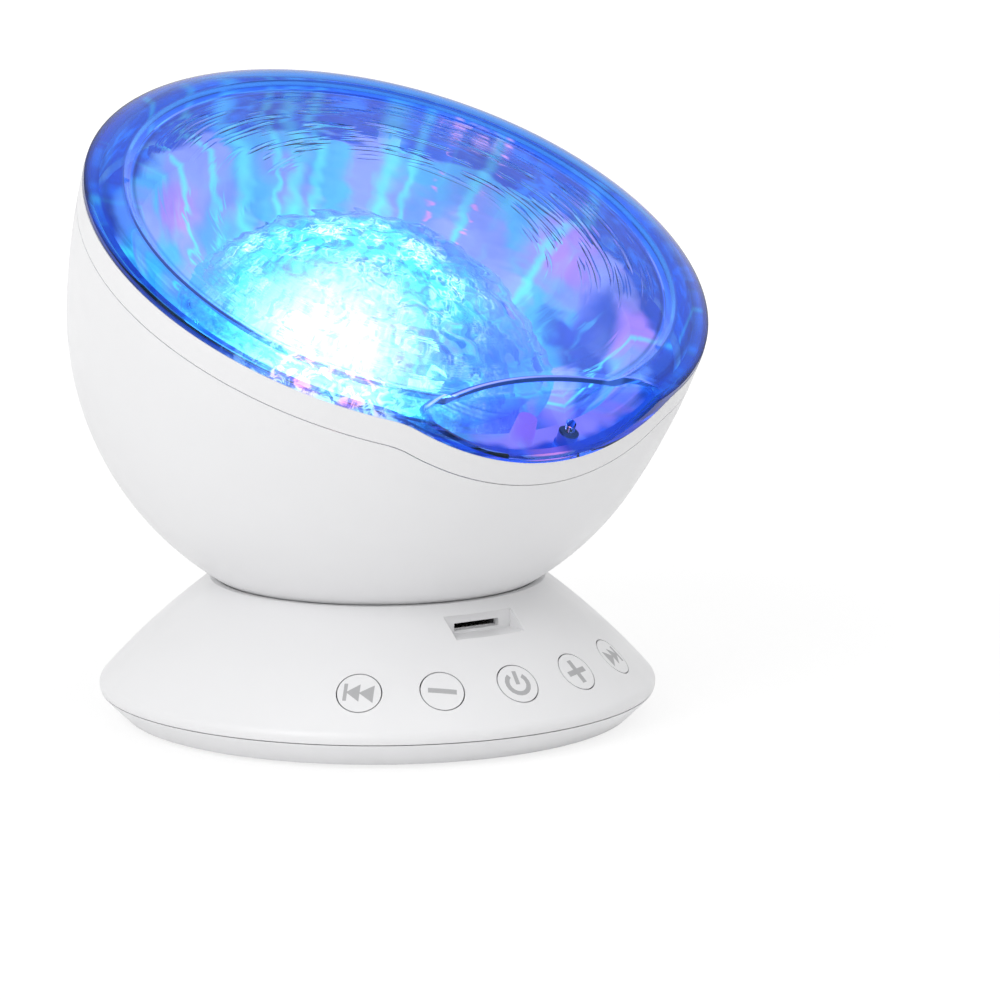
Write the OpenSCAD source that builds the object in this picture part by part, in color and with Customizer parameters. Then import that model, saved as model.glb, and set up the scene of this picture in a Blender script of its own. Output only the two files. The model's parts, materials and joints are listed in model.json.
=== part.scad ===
// Ocean wave night light projector: a tilted bowl with a blue rippled lens on a round base.
// Millimetres. Origin at the centre of the base pan's underside, +Z up, front towards -Y.

/* [Bowl] */
// Outer radius of the round bowl
bowl_r = 70.5; // [68:0.5:74]
// Radius of the flat floor on which the bowl stands on the base
bowl_foot_r = 33.9; // [32:0.1:35.5]
// Tilt of the bowl's open end towards the front, in degrees
tilt = 28.4; // [24:0.2:32]
// Wall of the bowl
bowl_wall = 2.4; // [2:0.1:3]
// How far the rim stands out from the bowl's radius
rim_flare = 2.4; // [1.6:0.1:2.6]
// Height of the rim above the bowl's centre, along the bowl's axis
rim_h = 19; // [18:0.2:20]
// Angle below the bowl's equator at which its side starts to flare
flare_from = 12; // [10:1:14]

/* [Rim wave] */
// Height of the rim band above its seam
band_h = 6.3; // [5:0.1:7]
// Thickness of the rim band
band_wall = 4; // [3.4:0.1:4.4]
// Length of the rim band's skirt inside the bowl
band_skirt = 3; // [2:0.1:3.6]
// Depth of the dip at the front of the rim
dip_depth = 7.6; // [6:0.1:8]
// Radius of the dip's round bottom
dip_r = 84; // [78:1:92]
// Radius of the shoulders on both sides of the dip
dip_shoulder_r = 14; // [8:1:18]
// Open seam between fixed covers
seam_gap = 0.25; // [0.15:0.05:0.4]

/* [Lens] */
// Wall of the lens cover
lens_wall = 2; // [1.6:0.1:2.4]
// Height of the lens's round crest above the rim
crest_h = 3.6; // [3:0.1:4.4]
// Width of the lens's smooth outer band
crest_inset = 7.8; // [7:0.1:9]
// Width of the step inside the crest
crest_step_w = 2.7; // [2:0.1:3.4]
// Depth of the step inside the crest
crest_step_h = 1.4; // [1:0.1:1.8]
// Rise of the lens's middle above the foot of the step
lens_rise = 2.3; // [1.6:0.1:3]
// Slope of the front lip, in degrees below the lens plane
lip_slope = 18; // [15:0.5:20]
// Height of the front lip above the lowest point of the rim
lip_edge = 1.2; // [0.8:0.1:1.8]
// Radius of the curved step behind the front lip
scoop_r = 66.7; // [62:0.5:70]
// Width of the front lip, from the rim to the curved step behind it
lip_w = 17; // [15:0.2:19]
// Radius of the receiver hole in the front lip
receiver_hole_r = 1.15; // [0.9:0.05:1.5]
// Sideways place of the receiver hole
receiver_x = 8.3; // [7:0.1:9.5]
// Distance from the rim to the receiver hole
receiver_inset = 7.7; // [7.2:0.1:8.4]

/* [Base] */
// Height of the base's neck lip
base_h = 31.1; // [30:0.1:33]
// Largest radius of the base
base_r = 64.2; // [63:0.1:66]
// Radius of the rounded edge of the base
nose_r = 2.7; // [2.7:0.1:3.4]
// Height of the rounded edge's centre
nose_z = 6.6; // [6.3:0.1:6.9]
// Radius of the base's flat underside
pan_r = 58.6; // [57:0.1:60]
// Radius of the sloping side's gentle curve
slope_r = 165; // [140:5:260]
// Wall of the base
base_wall = 2.2; // [1.8:0.1:2.6]
// Height of the parting line between shell and pan
seam_z = 5.5; // [5.3:0.1:5.8]
// Depth of the seat in which the bowl stands
seat_depth = 1.6; // [1.3:0.1:2.2]
// Thickness of the deck under the bowl
deck_t = 2.2; // [1.8:0.1:2.8]
// Thickness of the neck lip
neck_lip = 1.7; // [1.4:0.1:2.2]
// Gap between the neck lip and the bowl
neck_gap = 0.3; // [0.2:0.05:0.5]
// Radius of the wire hole through the deck
wire_hole_r = 6; // [4:0.5:8]
// Radius of a rubber foot
foot_r = 5; // [4:0.5:6]
// How far the feet stand below the pan
foot_drop = 0.8; // [0.4:0.1:1.5]

/* [Buttons] */
// Radius of a button
button_r = 4.8; // [4.2:0.05:5]
// Height of the button centres
button_z = 15.6; // [15:0.1:16.4]
// Angle between neighbouring buttons, in degrees
button_pitch = 18.56; // [17.5:0.02:19.6]
// Gap around a button
button_gap = 0.3; // [0.15:0.05:0.4]
// Travel of a button
button_travel = 0.6; // [0.4:0.1:0.8]
// Width of the collar that keeps a button in
button_collar = 1; // [0.7:0.1:1.3]

/* [Card slot] */
// Width of the card recess
slot_w = 18.2; // [16:0.2:19]
// Height of the card recess
slot_h = 4.3; // [4.2:0.1:4.5]
// Distance from the bowl's seat to the back of the card recess
slot_wall = 3.4; // [2.8:0.1:3.8]
// Wall round a recess
recess_wall = 1.4; // [1:0.1:1.8]

/* [Drive] */
// Module of the gear teeth
gear_module = 1; // [0.9:0.02:1.04]
// Teeth of the drive pinion
pinion_teeth = 15; // [14:1:17]
// Play between meshed teeth
backlash = 0.3; // [0.25:0.05:0.5]
// Thickness of the gears
gear_t = 3; // [2.4:0.1:3.6]
// Radius of the ripple dome
dome_r = 43; // [40:0.5:45]
// Height of the ripple dome
dome_rise = 24; // [20:0.5:25]
// Wall of the ripple dome
dome_wall = 1.8; // [1.4:0.1:2.2]
// Radius of the pin on which the turntable runs
pin_r = 3; // [2.5:0.1:3.5]
// Radius of the motor's body
motor_r = 14; // [12:0.5:15]
// Length of the motor's body
motor_l = 16; // [13:0.5:18]
// Number of light chips
light_count = 12; // [8:1:14]

/* [Tray] */
// Height of the tray's flange above the bowl's centre
tray_top = 8; // [7.4:0.1:8.4]
// Width of the tray's flange
flange_w = 9.3; // [8.6:0.1:10]
// How much the tray narrows from its mouth to its floor
tray_taper = 10; // [8:0.5:12]
// Depth of the tray's floor below its flange
tray_depth = 22; // [20:0.5:23]
// Wall of the tray
tray_wall = 2; // [1.6:0.1:2.4]

/* [Hidden] */

$fn = 120;
fine_fn = 1440;
eps = 0.01;
reach = 120;
past = 1;

// Clearances shared by all fits
face_gap = 0.3;
fit_gap = 0.05;
screw_gap = 0.2;
screw_r = 1.5;
screw_head_r = 2.8;
screw_head_h = 1.8;
cross_w = 0.7;
cross_share = 0.6;

// Base outline: neck point, rounded edge and the arc between them
deck_z = base_h - seat_depth;
bowl_z = deck_z + sqrt(pow(bowl_r, 2) - pow(bowl_foot_r, 2));
neck_in_r = sqrt(pow(bowl_r, 2) - pow(bowl_z - base_h, 2)) + neck_gap;
neck_pt = [neck_in_r + neck_lip, base_h];
nose_pt = [base_r - nose_r, nose_z];
neck_to_nose = norm(nose_pt - neck_pt);
slope_dir = (nose_pt - neck_pt) / neck_to_nose;
slope_out = [-slope_dir[1], slope_dir[0]];
slope_along = (pow(slope_r, 2) - pow(slope_r - nose_r, 2) + pow(neck_to_nose, 2)) / (2 * neck_to_nose);
slope_pt = neck_pt + slope_along * slope_dir - sqrt(pow(slope_r, 2) - pow(slope_along, 2)) * slope_out;
nose_dir = (nose_pt - slope_pt) / norm(nose_pt - slope_pt);
pan_to_nose = nose_pt - [pan_r, 0];
pan_angle = atan2(pan_to_nose[1], pan_to_nose[0]) - asin(nose_r / norm(pan_to_nose));

function slope_at(z, d = 0) = slope_pt[0] + sqrt(pow(slope_r - d, 2) - pow(z - slope_pt[1], 2));

pan_t = base_wall;
pan_lip_t = 1.2;
pan_lip_h = 1.2;
pan_wall_r = pan_r + seam_z / tan(pan_angle) - base_wall / sin(pan_angle);
pan_lip_r = min(nose_pt[0], pan_wall_r) - face_gap;
pan_boss_r = 3.8;
pan_boss_top = 4.6;
edge_inset = 9.6;
pan_screw_at = pan_r - edge_inset;
pan_screw_angles = [-150, -30, 30, 150];
pan_screw_l = 12;
head_sink = 0.6;
counterbore = screw_head_h + head_sink;
foot_at = pan_r - edge_inset;
foot_angles = [-135, -45, 45, 135];
foot_seat = 0.7;

neck_screw_inset = 12.9;
neck_screw_at = bowl_foot_r - neck_screw_inset;
neck_screw_angles = [90, 210, 330];
neck_screw_l = 8;
neck_boss_r = 3.6;
floor_t = bowl_wall;

// Buttons, switch strip and snap domes, measured inward along the button's axis
button_at = slope_at(button_z);
button_lean = atan2(button_z - slope_pt[1], button_at - slope_pt[0]);
collar_clear = 0.5;
collar_top = base_wall + collar_clear;
collar_t = 0.8;
stem_r = 1.6;
stem_l = 1.6;
stem_end = collar_top + collar_t + stem_l;
snap_r = 2.4;
snap_t = 0.7;
snap_clear = 0.1;
snap_top = stem_end + button_travel + snap_clear;
strip_top = snap_top + snap_t;
strip_t = 0.8;
strip_w = 11;
strip_margin = 11;
strip_end = 2 * button_pitch + strip_margin;
strip_post_r = 1.3;

// Bowl outline: sphere below, flaring arc above, tangent to each other
rim_r = bowl_r + rim_flare;
flare_pt = bowl_r * [cos(flare_from), -sin(flare_from)];
flare_dir = [cos(flare_from), -sin(flare_from)];
flare_span = [rim_r, rim_h] - flare_pt;
flare_r = -(flare_span * flare_span) / (2 * (flare_span * flare_dir));
flare_mid = flare_pt - flare_r * flare_dir;

function bowl_at(h, d = 0) = flare_mid[0] + sqrt(pow(flare_r - d, 2) - pow(h - flare_mid[1], 2));

// Rim wave
seam_h = rim_h - band_h;
dip_half = sqrt(dip_depth * (2 * (dip_r + dip_shoulder_r) - dip_depth));
wave_kink = 4;
wave_depth = 100;

// Lens
crest_r = rim_r - crest_inset;
step_r = crest_r - crest_step_w;
lens_edge_drop = 2.8;
lens_edge_r = (pow(crest_inset, 2) + pow(lens_edge_drop, 2)) / (2 * lens_edge_drop);
band_steps = 4;
step_foot = crest_h - crest_step_h;
lens_ball_r = (pow(step_r, 2) + pow(lens_rise, 2)) / (2 * lens_rise);
lip_low = rim_h - dip_depth + lip_edge;
scoop_mid = rim_r - lip_w + scoop_r;
receiver_at = rim_r - receiver_inset;

// Tray and what stands on it
tray_gap = 0.8;
tray_r = bowl_at(tray_top - tray_wall, band_wall) - tray_gap;
tray_mouth_r = tray_r - flange_w;
tray_floor_r = tray_mouth_r - tray_taper;
tray_low = tray_top - tray_depth;
tray_under = tray_low - tray_wall;
tray_boss_wall = 1.5;
tray_boss_r = screw_r + tray_boss_wall;
tray_screw_at = tray_mouth_r + tray_wall + face_gap + tray_boss_r;
tray_screw_angles = [0, 60, 120, 180, 225, 315];
tray_boss_l = 12;
tray_rib_h = 4;
tray_screw_l = 7;
tray_screw_gap = 0.5;
post_inset = 2.2;
post_at = tray_mouth_r + post_inset;
post_r = 2.9;
post_tip_r = 2.2;
receiver_r = 2.3;
receiver_l = 3;
receiver_post_r = 2.6;

function lip_h(x, at) = lip_low + (rim_r - at) * tan(lip_slope)
    + (dip_r - sqrt(pow(dip_r, 2) - pow(x, 2))) / cos(lip_slope);
function lip_under(x, at) = lip_h(x, at) - lens_wall / cos(lip_slope) - face_gap;

receiver_top = lip_under(receiver_x + receiver_r, receiver_at + receiver_r);
post_top = lip_under(0, post_at + post_tip_r);

board_t = 1.6;
chip_w = 5;
chip_t = 1;
chip_ring_r = 17;
light_board_r = 25;
light_board_hole_r = 7;

// Drive, heights along the bowl's axis
chip_room = 1.4;
gear_low = tray_low + board_t + chip_t + chip_room;
gear_top = gear_low + gear_t;
pressure_angle = 20;
addendum = 0.8;
dedendum = 1.1;
flank_steps = 4;
root_ease = 0.2;
mesh_extra = 0.15;
drive_gap = 0.8;
drive_room = tray_floor_r + tray_taper * (gear_low - tray_low) / tray_depth - drive_gap - mesh_extra;
turntable_teeth = floor(2 * (drive_room / gear_module - addendum - pinion_teeth));
turntable_pitch_r = gear_module * turntable_teeth / 2;
pinion_pitch_r = gear_module * pinion_teeth / 2;
drive_at = turntable_pitch_r + pinion_pitch_r + mesh_extra;
ring_w = 4;
ring_in_r = turntable_pitch_r - dedendum * gear_module - ring_w;
hub_wall = 3;
hub_r = pin_r + hub_wall;
hub_rise = 1;
hub_h = gear_t + hub_rise;
spoke_w = 4;
spoke_t = gear_t - 1;
pillar_r = 6;
spigot_r = 4;
end_play = 0.1;
pin_top = gear_low + hub_h + end_play;
cap_edge = 1.8;
cap_r = pin_r + cap_edge;
cap_t = 1.4;
cap_screw_r = 1.2;
cap_screw_l = 5;
dome_inset = 0.9;
dome_gap = 0.6;
dome_foot_w = 3;
dome_foot_in = turntable_pitch_r - dedendum * gear_module - dome_inset - dome_foot_w;
dome_ball_r = (pow(dome_r, 2) + pow(dome_rise, 2)) / (2 * dome_rise);
shaft_r = 1.5;
shaft_sink = 7;
shaft_end_gap = 0.5;
bush_r = 3.8;
bush_h = 1.2;
ear_t = 1.6;
ear_r = 4;
ear_out = 3;
ear_at = motor_r + ear_out;
ear_web = 0.9 * ear_at;
motor_screw_r = 1.25;
motor_screw_head_r = 2.4;
motor_screw_l = ear_t + tray_wall;

// Speaker, boards and inlet in the base
speaker_r = 19;
speaker_rim = 4.5;
speaker_rim_t = 1.2;
speaker_h = 6;
speaker_ring_t = 1.2;
speaker_ring_h = 1;
magnet_r = 9;
magnet_h = 5;
magnet_seat = 2;
basket_r = speaker_r - speaker_rim;
basket_t = 1.2;
cone_lift = 0.2;
cone_r = basket_r - 2 * fit_gap;
cone_t = 0.5;
cone_depth = 2.2;
dust_cap_r = 4;
dust_cap_rise = 0.4;
coil_r = magnet_r - magnet_seat - face_gap;
coil_h = 0.7;
grille_rings = [7, 11, 15];
grille_hole_r = 1.1;
grille_pitch = 4.4;
main_board_w = 56;
main_board_d = 22;
main_board_z = 8;
board_post_r = 2.4;
board_post_inset = 3;
inlet_w = 7.6;
inlet_h = 2.9;
inlet_d = 6;
inlet_wall = 0.4;
inlet_floor_t = 1;
inlet_tongue_h = 0.7;
inlet_tongue_inset = 1;
inlet_depth = 14;
inlet_back = base_r - inlet_depth;
main_board_y = inlet_back - recess_wall - face_gap - main_board_d / 2;
inlet_recess_w = 13;
inlet_recess_h = 6;
inlet_sill = 1.5;
inlet_z = main_board_z + board_t;
inlet_recess_z = inlet_z - inlet_sill;
inlet_notch_w = inlet_recess_w + 2 * (recess_wall + face_gap);
socket_play = 3;
socket_cut = recess_wall + socket_play;
card_w = 14.6;
card_h = 2;
card_d = 14;
card_mouth_w = 11.4;
card_mouth_h = 1.2;
card_sill = 0.5;
card_clear = 0.25;
card_z = deck_z - deck_t - card_h - screw_gap;
card_mouth_z = card_z + (card_h - card_mouth_h) / 2;
slot_z = card_z - card_sill;
slot_back = neck_in_r + slot_wall;
card_board_w = 26;
card_board_t = 1.2;
card_post_r = 1.6;
card_post_out = 2.6;
card_post_x = card_w / 2 + card_post_out;
card_post_in = 6;

// Frames

module in_bowl() {
    translate([0, 0, bowl_z]) rotate([tilt, 0, 0]) children();
}

module around(at, angles) {
    for (a = angles) rotate([0, 0, a]) translate([at, 0, 0]) children();
}

module on_button(i) {
    rotate([0, 0, i * button_pitch]) translate([0, -button_at, button_z])
        rotate([90 - button_lean, 0, 0]) children();
}

module at_drive() {
    translate([0, drive_at, 0]) children();
}

// A screw with its head below z = 0 and its shaft above
module screw(r, l, head_r, head_h) {
    translate([0, 0, -head_h]) difference() {
        cylinder(r = head_r, h = head_h);
        for (a = [0, 90]) rotate([0, 0, a])
            translate([-cross_share * head_r, -cross_w / 2, -eps])
                cube([2 * cross_share * head_r, cross_w, head_h / 2]);
    }
    translate([0, 0, -eps]) cylinder(r = r, h = l + eps);
}

// Half outlines, turned about the Y axis of the drawing

module half_plane(low, high) {
    translate([0, low]) square([reach, high - low]);
}

// The base's outline, moved inward by d
module base_outline(d = 0) {
    up = slope_pt + (slope_r - d) * nose_dir;
    low = nose_pt + (nose_r - d) * [sin(pan_angle), -cos(pan_angle)];
    top = [slope_at(base_h, d), base_h];
    out = nose_r * slope_out;
    polygon([[0, 0], [low[0] - low[1] / tan(pan_angle), 0], low, nose_pt, up, top, [0, base_h]]);
    translate(nose_pt) circle(r = nose_r - d);
    intersection() {
        translate(slope_pt) circle(r = slope_r - d, $fn = fine_fn);
        polygon([up, top, top + out, up + out]);
    }
}

// The bowl's outline, moved inward by d
module bowl_outline(d = 0) {
    intersection() {
        circle(r = bowl_r - d, $fn = fine_fn / 4);
        half_plane(-reach, 0);
    }
    intersection() {
        translate(flare_mid) circle(r = flare_r - d, $fn = fine_fn);
        half_plane((bowl_r - d) * flare_dir[1], rim_h);
    }
}

// The lens's outline above the rim, moved inward by d: a shallow dome, a step, a crest and a falling band
module lens_outline(d = 0) {
    low = -2 * dip_depth;
    edge = crest_inset - d - seam_gap / 2;
    translate([0, rim_h]) {
        intersection() {
            translate([0, step_foot + lens_rise - lens_ball_r]) circle(r = lens_ball_r - d, $fn = fine_fn);
            translate([0, low]) square([step_r + eps, reach]);
        }
        polygon(concat(
            [[step_r, low], [crest_r + edge, low]],
            [for (k = [band_steps:-1:0]) let (x = edge * k / band_steps)
                [crest_r + x, crest_h - d - x * x / (2 * lens_edge_r)]],
            [[crest_r - crest_step_w / 3, crest_h - d], [step_r, step_foot - d]]));
    }
}

// All that lies above the rim's wave when the wave is at a given height: a round bottom with round shoulders,
// which cross their neighbours at a slight angle
module above_wave(level) {
    mid = [0, level - dip_depth + dip_r];
    side = [dip_half, level - dip_shoulder_r * cos(wave_kink)];
    turn = asin(dip_half / (dip_r + dip_shoulder_r));
    touch = mid + dip_r * [sin(turn), -cos(turn)];
    translate([0, 0, level]) cylinder(r = reach, h = reach);
    rotate([90, 0, 0]) linear_extrude(wave_depth) {
        intersection() {
            translate(mid) circle(r = dip_r, $fn = fine_fn);
            translate([-dip_half, level - dip_depth - past]) square([2 * dip_half, dip_depth + 2 * past]);
        }
        for (s = [-1, 1]) scale([s, 1]) difference() {
            translate(touch) square([dip_half, level + past] - touch);
            translate(side) circle(r = dip_shoulder_r, $fn = fine_fn / 4);
        }
    }
}

// The room above the front lip, moved outward by d
module scoop(d = 0) {
    intersection() {
        translate([0, -scoop_mid, 0])
            cylinder(r = scoop_r + d, h = 2 * reach, center = true, $fn = fine_fn / 2);
        translate([0, -rim_r, lip_low]) rotate([90 + lip_slope, 0, 0]) translate([0, dip_r, 0])
            cylinder(r = dip_r + d, h = 2 * reach, center = true, $fn = fine_fn);
    }
}

// Base

// A recess in the front slope: solid walls, cut afterwards by recess_cut
module recess_block(w, z, h, back) {
    intersection() {
        translate([-w / 2 - recess_wall, -reach, z - recess_wall])
            cube([w + 2 * recess_wall, reach - back + recess_wall, h + 2 * recess_wall]);
        rotate_extrude() base_outline();
    }
}

module recess_cut(w, z, h, back) {
    translate([-w / 2, -reach, z]) cube([w, reach - back, h]);
}

module base_shell() {
    color("white") difference() {
        union() {
            rotate_extrude() difference() {
                intersection() {
                    base_outline();
                    half_plane(seam_z + seam_gap / 2, base_h);
                }
                intersection() {
                    base_outline(base_wall);
                    half_plane(0, deck_z - deck_t);
                }
                translate([0, deck_z]) square([neck_in_r, reach]);
            }
            recess_block(slot_w, slot_z, slot_h, slot_back);
            rotate([0, 0, 180]) recess_block(inlet_recess_w, inlet_recess_z, inlet_recess_h, inlet_back);
            intersection() {
                union() {
                    around(pan_screw_at, pan_screw_angles)
                        translate([0, 0, pan_boss_top]) cylinder(r = pan_boss_r, h = reach);
                    for (i = [-2.5:1:2.5]) on_button(i)
                        translate([0, 0, -strip_top + fit_gap])
                            cylinder(r = strip_post_r, h = strip_top - base_wall / 2);
                }
                rotate_extrude() intersection() {
                    base_outline(base_wall / 2);
                    half_plane(0, deck_z - deck_t / 2);
                }
            }
            for (s = [-1, 1]) translate([s * card_post_x, -slot_back + recess_wall + card_post_in, card_z])
                cylinder(r = card_post_r, h = deck_z - deck_t / 2 - card_z);
        }
        for (i = [-2:2]) on_button(i)
            translate([0, 0, -collar_top]) cylinder(r = button_r + button_gap, h = 2 * collar_top);
        recess_cut(slot_w, slot_z, slot_h, slot_back);
        translate([-card_mouth_w / 2 - card_clear, -slot_back - past, card_mouth_z - card_clear])
            cube([card_mouth_w + 2 * card_clear, socket_cut, card_mouth_h + 2 * card_clear]);
        rotate([0, 0, 180]) {
            recess_cut(inlet_recess_w, inlet_recess_z, inlet_recess_h, inlet_back);
            translate([-inlet_w / 2 - screw_gap, -inlet_back - past, inlet_z - screw_gap])
                cube([inlet_w + 2 * screw_gap, socket_cut, inlet_h + 2 * screw_gap]);
        }
        around(pan_screw_at, pan_screw_angles)
            translate([0, 0, pan_boss_top - past]) cylinder(r = screw_r + fit_gap, h = pan_screw_l);
        around(neck_screw_at, neck_screw_angles)
            translate([0, 0, deck_z - deck_t - past])
                cylinder(r = screw_r + screw_gap, h = deck_t + 2 * past);
        translate([0, 0, deck_z - deck_t - past]) cylinder(r = wire_hole_r, h = deck_t + 2 * past);
    }
}

module base_pan() {
    color("gainsboro") difference() {
        union() {
            rotate_extrude() {
                difference() {
                    intersection() {
                        base_outline();
                        half_plane(0, seam_z - seam_gap / 2);
                    }
                    intersection() {
                        base_outline(base_wall);
                        half_plane(pan_t, reach);
                    }
                }
                intersection() {
                    base_outline(base_wall / 2);
                    translate([pan_lip_r - pan_lip_t, pan_t / 2])
                        square([pan_lip_t, seam_z + pan_lip_h - pan_t / 2]);
                }
            }
            around(pan_screw_at, pan_screw_angles) cylinder(r = pan_boss_r, h = pan_boss_top - face_gap / 3);
            difference() {
                cylinder(r = speaker_r + fit_gap + speaker_ring_t,
                         h = pan_t + speaker_rim_t + speaker_ring_h);
                translate([0, 0, pan_t]) cylinder(r = speaker_r + fit_gap, h = reach);
            }
            for (sx = [-1, 1], sy = [-1, 1])
                translate([sx * (main_board_w / 2 - board_post_inset),
                           main_board_y + sy * (main_board_d / 2 - board_post_inset), 0])
                    cylinder(r = board_post_r, h = main_board_z);
        }
        around(pan_screw_at, pan_screw_angles) {
            translate([0, 0, -past]) cylinder(r = screw_head_r + screw_gap, h = counterbore + past);
            cylinder(r = screw_r + screw_gap, h = 2 * pan_boss_top);
        }
        around(foot_at, foot_angles)
            translate([0, 0, -past]) cylinder(r = foot_r + screw_gap, h = foot_seat + past);
        translate([-inlet_notch_w / 2, inlet_back, inlet_recess_z - recess_wall - face_gap])
            cube([inlet_notch_w, reach, reach]);
        for (r = grille_rings) {
            n = floor(2 * PI * r / grille_pitch);
            around(r, [0:360 / n:359.9])
                translate([0, 0, -past]) cylinder(r = grille_hole_r, h = pan_t + 2 * past, $fn = 24);
        }
    }
}

module rubber_feet() {
    color("dimgray") around(foot_at, foot_angles) translate([0, 0, -foot_drop])
        cylinder(r = foot_r, h = foot_drop + foot_seat);
}

module pan_screws() {
    color("silver") around(pan_screw_at, pan_screw_angles) translate([0, 0, counterbore])
        screw(screw_r, pan_screw_l, screw_head_r, screw_head_h);
}

module neck_screws() {
    color("silver") around(neck_screw_at, neck_screw_angles) translate([0, 0, deck_z - deck_t])
        screw(screw_r, neck_screw_l, screw_head_r, screw_head_h);
}

module button(i) {
    color("whitesmoke") {
        intersection() {
            on_button(i) translate([0, 0, -collar_top - eps]) cylinder(r = button_r, h = 2 * collar_top);
            rotate_extrude() base_outline();
        }
        on_button(i) {
            translate([0, 0, -collar_top - collar_t]) cylinder(r = button_r + button_collar, h = collar_t);
            translate([0, 0, -stem_end]) cylinder(r = stem_r, h = stem_l + eps);
        }
    }
}

module previous_button() { button(-2); }

module volume_down_button() { button(-1); }

module power_button() { button(0); }

module volume_up_button() { button(1); }

module next_button() { button(2); }

module switch_strip() {
    color("darkgreen") rotate([0, 0, -90 - strip_end]) rotate_extrude(angle = 2 * strip_end)
        translate([button_at, button_z] - strip_top * [cos(button_lean), sin(button_lean)])
            rotate(button_lean - 90) translate([-strip_w / 2, -strip_t]) square([strip_w, strip_t]);
}

module snap_domes() {
    color("goldenrod") for (i = [-2:2]) on_button(i)
        translate([0, 0, -strip_top]) cylinder(r = snap_r, h = snap_t);
}

module main_board() {
    color("darkgreen") translate([-main_board_w / 2, main_board_y - main_board_d / 2, main_board_z])
        cube([main_board_w, main_board_d, board_t]);
}

module power_inlet() {
    mouth_w = inlet_w - 2 * inlet_wall;
    mouth_h = inlet_h - 2 * inlet_wall;
    color("silver") translate([-inlet_w / 2, inlet_back + recess_wall / 2 - inlet_d, inlet_z]) difference() {
        cube([inlet_w, inlet_d, inlet_h]);
        translate([inlet_wall, inlet_floor_t, inlet_wall]) difference() {
            cube([mouth_w, inlet_d, mouth_h]);
            translate([inlet_tongue_inset, -eps, (mouth_h - inlet_tongue_h) / 2])
                cube([mouth_w - 2 * inlet_tongue_inset, inlet_d - 2 * inlet_floor_t, inlet_tongue_h]);
        }
    }
}

module card_board() {
    color("darkgreen")
        translate([-card_board_w / 2, -slot_back + recess_wall + face_gap, card_z - card_board_t])
            cube([card_board_w, card_d, card_board_t]);
}

module card_socket() {
    color("silver") translate([0, -slot_back + recess_wall + fit_gap, 0]) difference() {
        translate([-card_w / 2, 0, card_z]) cube([card_w, card_d, card_h]);
        translate([-card_mouth_w / 2, -eps, card_mouth_z])
            cube([card_mouth_w, card_d - recess_wall, card_mouth_h]);
    }
}

module speaker_frame() {
    color("dimgray") translate([0, 0, pan_t]) rotate_extrude() polygon([
        [basket_r, 0], [speaker_r, 0], [speaker_r, speaker_rim_t], [basket_r + basket_t, speaker_rim_t],
        [magnet_r + basket_t, speaker_h], [magnet_r - magnet_seat, speaker_h],
        [magnet_r - magnet_seat, speaker_h - basket_t], [magnet_r, speaker_h - basket_t],
        [basket_r, speaker_rim_t - cone_t]]);
}

module speaker_cone() {
    coil_top = speaker_h - cone_lift;
    color("black") translate([0, 0, pan_t + cone_lift]) rotate_extrude() polygon([
        [0, cone_depth + dust_cap_rise], [dust_cap_r, cone_depth], [cone_r, 0], [cone_r, cone_t],
        [dust_cap_r + cone_t, cone_depth + 2 * cone_t], [coil_r, coil_top - coil_h],
        [coil_r, coil_top], [0, coil_top]]);
}

module speaker_magnet() {
    color("gray") translate([0, 0, pan_t + speaker_h]) cylinder(r = magnet_r, h = magnet_h);
}

// Bowl

module bowl_shell() {
    color("white") difference() {
        union() {
            difference() {
                in_bowl() difference() {
                    rotate_extrude() difference() {
                        bowl_outline();
                        bowl_outline(bowl_wall);
                    }
                    above_wave(seam_h - seam_gap);
                }
                translate([0, 0, deck_z - reach]) cylinder(r = reach, h = reach);
            }
            intersection() {
                in_bowl() rotate_extrude() bowl_outline(bowl_wall / 2);
                union() {
                    translate([0, 0, deck_z]) cylinder(r = reach, h = floor_t);
                    around(neck_screw_at, neck_screw_angles)
                        translate([0, 0, deck_z]) cylinder(r = neck_boss_r, h = neck_screw_l + past);
                    in_bowl() around(tray_screw_at, tray_screw_angles)
                        translate([0, 0, tray_top - tray_wall - tray_boss_l]) {
                            cylinder(r = tray_boss_r, h = tray_boss_l);
                            translate([0, -tray_boss_r / 2, 0]) cube([reach, tray_boss_r, tray_rib_h]);
                        }
                }
                translate([0, 0, deck_z]) cylinder(r = reach, h = 2 * reach);
            }
        }
        around(neck_screw_at, neck_screw_angles)
            translate([0, 0, deck_z - past]) cylinder(r = screw_r + fit_gap, h = neck_screw_l + 3 * past);
        translate([0, 0, deck_z - past]) cylinder(r = wire_hole_r, h = floor_t + 2 * past);
        in_bowl() around(tray_screw_at, tray_screw_angles)
            translate([0, 0, tray_top - tray_screw_l]) cylinder(r = screw_r + fit_gap, h = tray_screw_l);
    }
}

module rim_band() {
    color("white") in_bowl() difference() {
        union() {
            intersection() {
                rotate_extrude() difference() {
                    bowl_outline();
                    bowl_outline(band_wall);
                    half_plane(-reach, 0);
                }
                above_wave(seam_h);
            }
            intersection() {
                rotate_extrude() difference() {
                    bowl_outline(bowl_wall + face_gap);
                    bowl_outline(band_wall);
                    half_plane(-reach, 0);
                }
                above_wave(seam_h - band_skirt);
            }
        }
        above_wave(rim_h);
    }
}

module lens_cover() {
    color("royalblue", 0.5) in_bowl() intersection() {
        difference() {
            rotate_extrude() lens_outline();
            scoop();
            difference() {
                rotate_extrude() lens_outline(lens_wall);
                scoop(lens_wall);
            }
            translate([receiver_x, -receiver_at, 0]) cylinder(r = receiver_hole_r, h = reach);
        }
        above_wave(rim_h + seam_gap / 2);
    }
}

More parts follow.
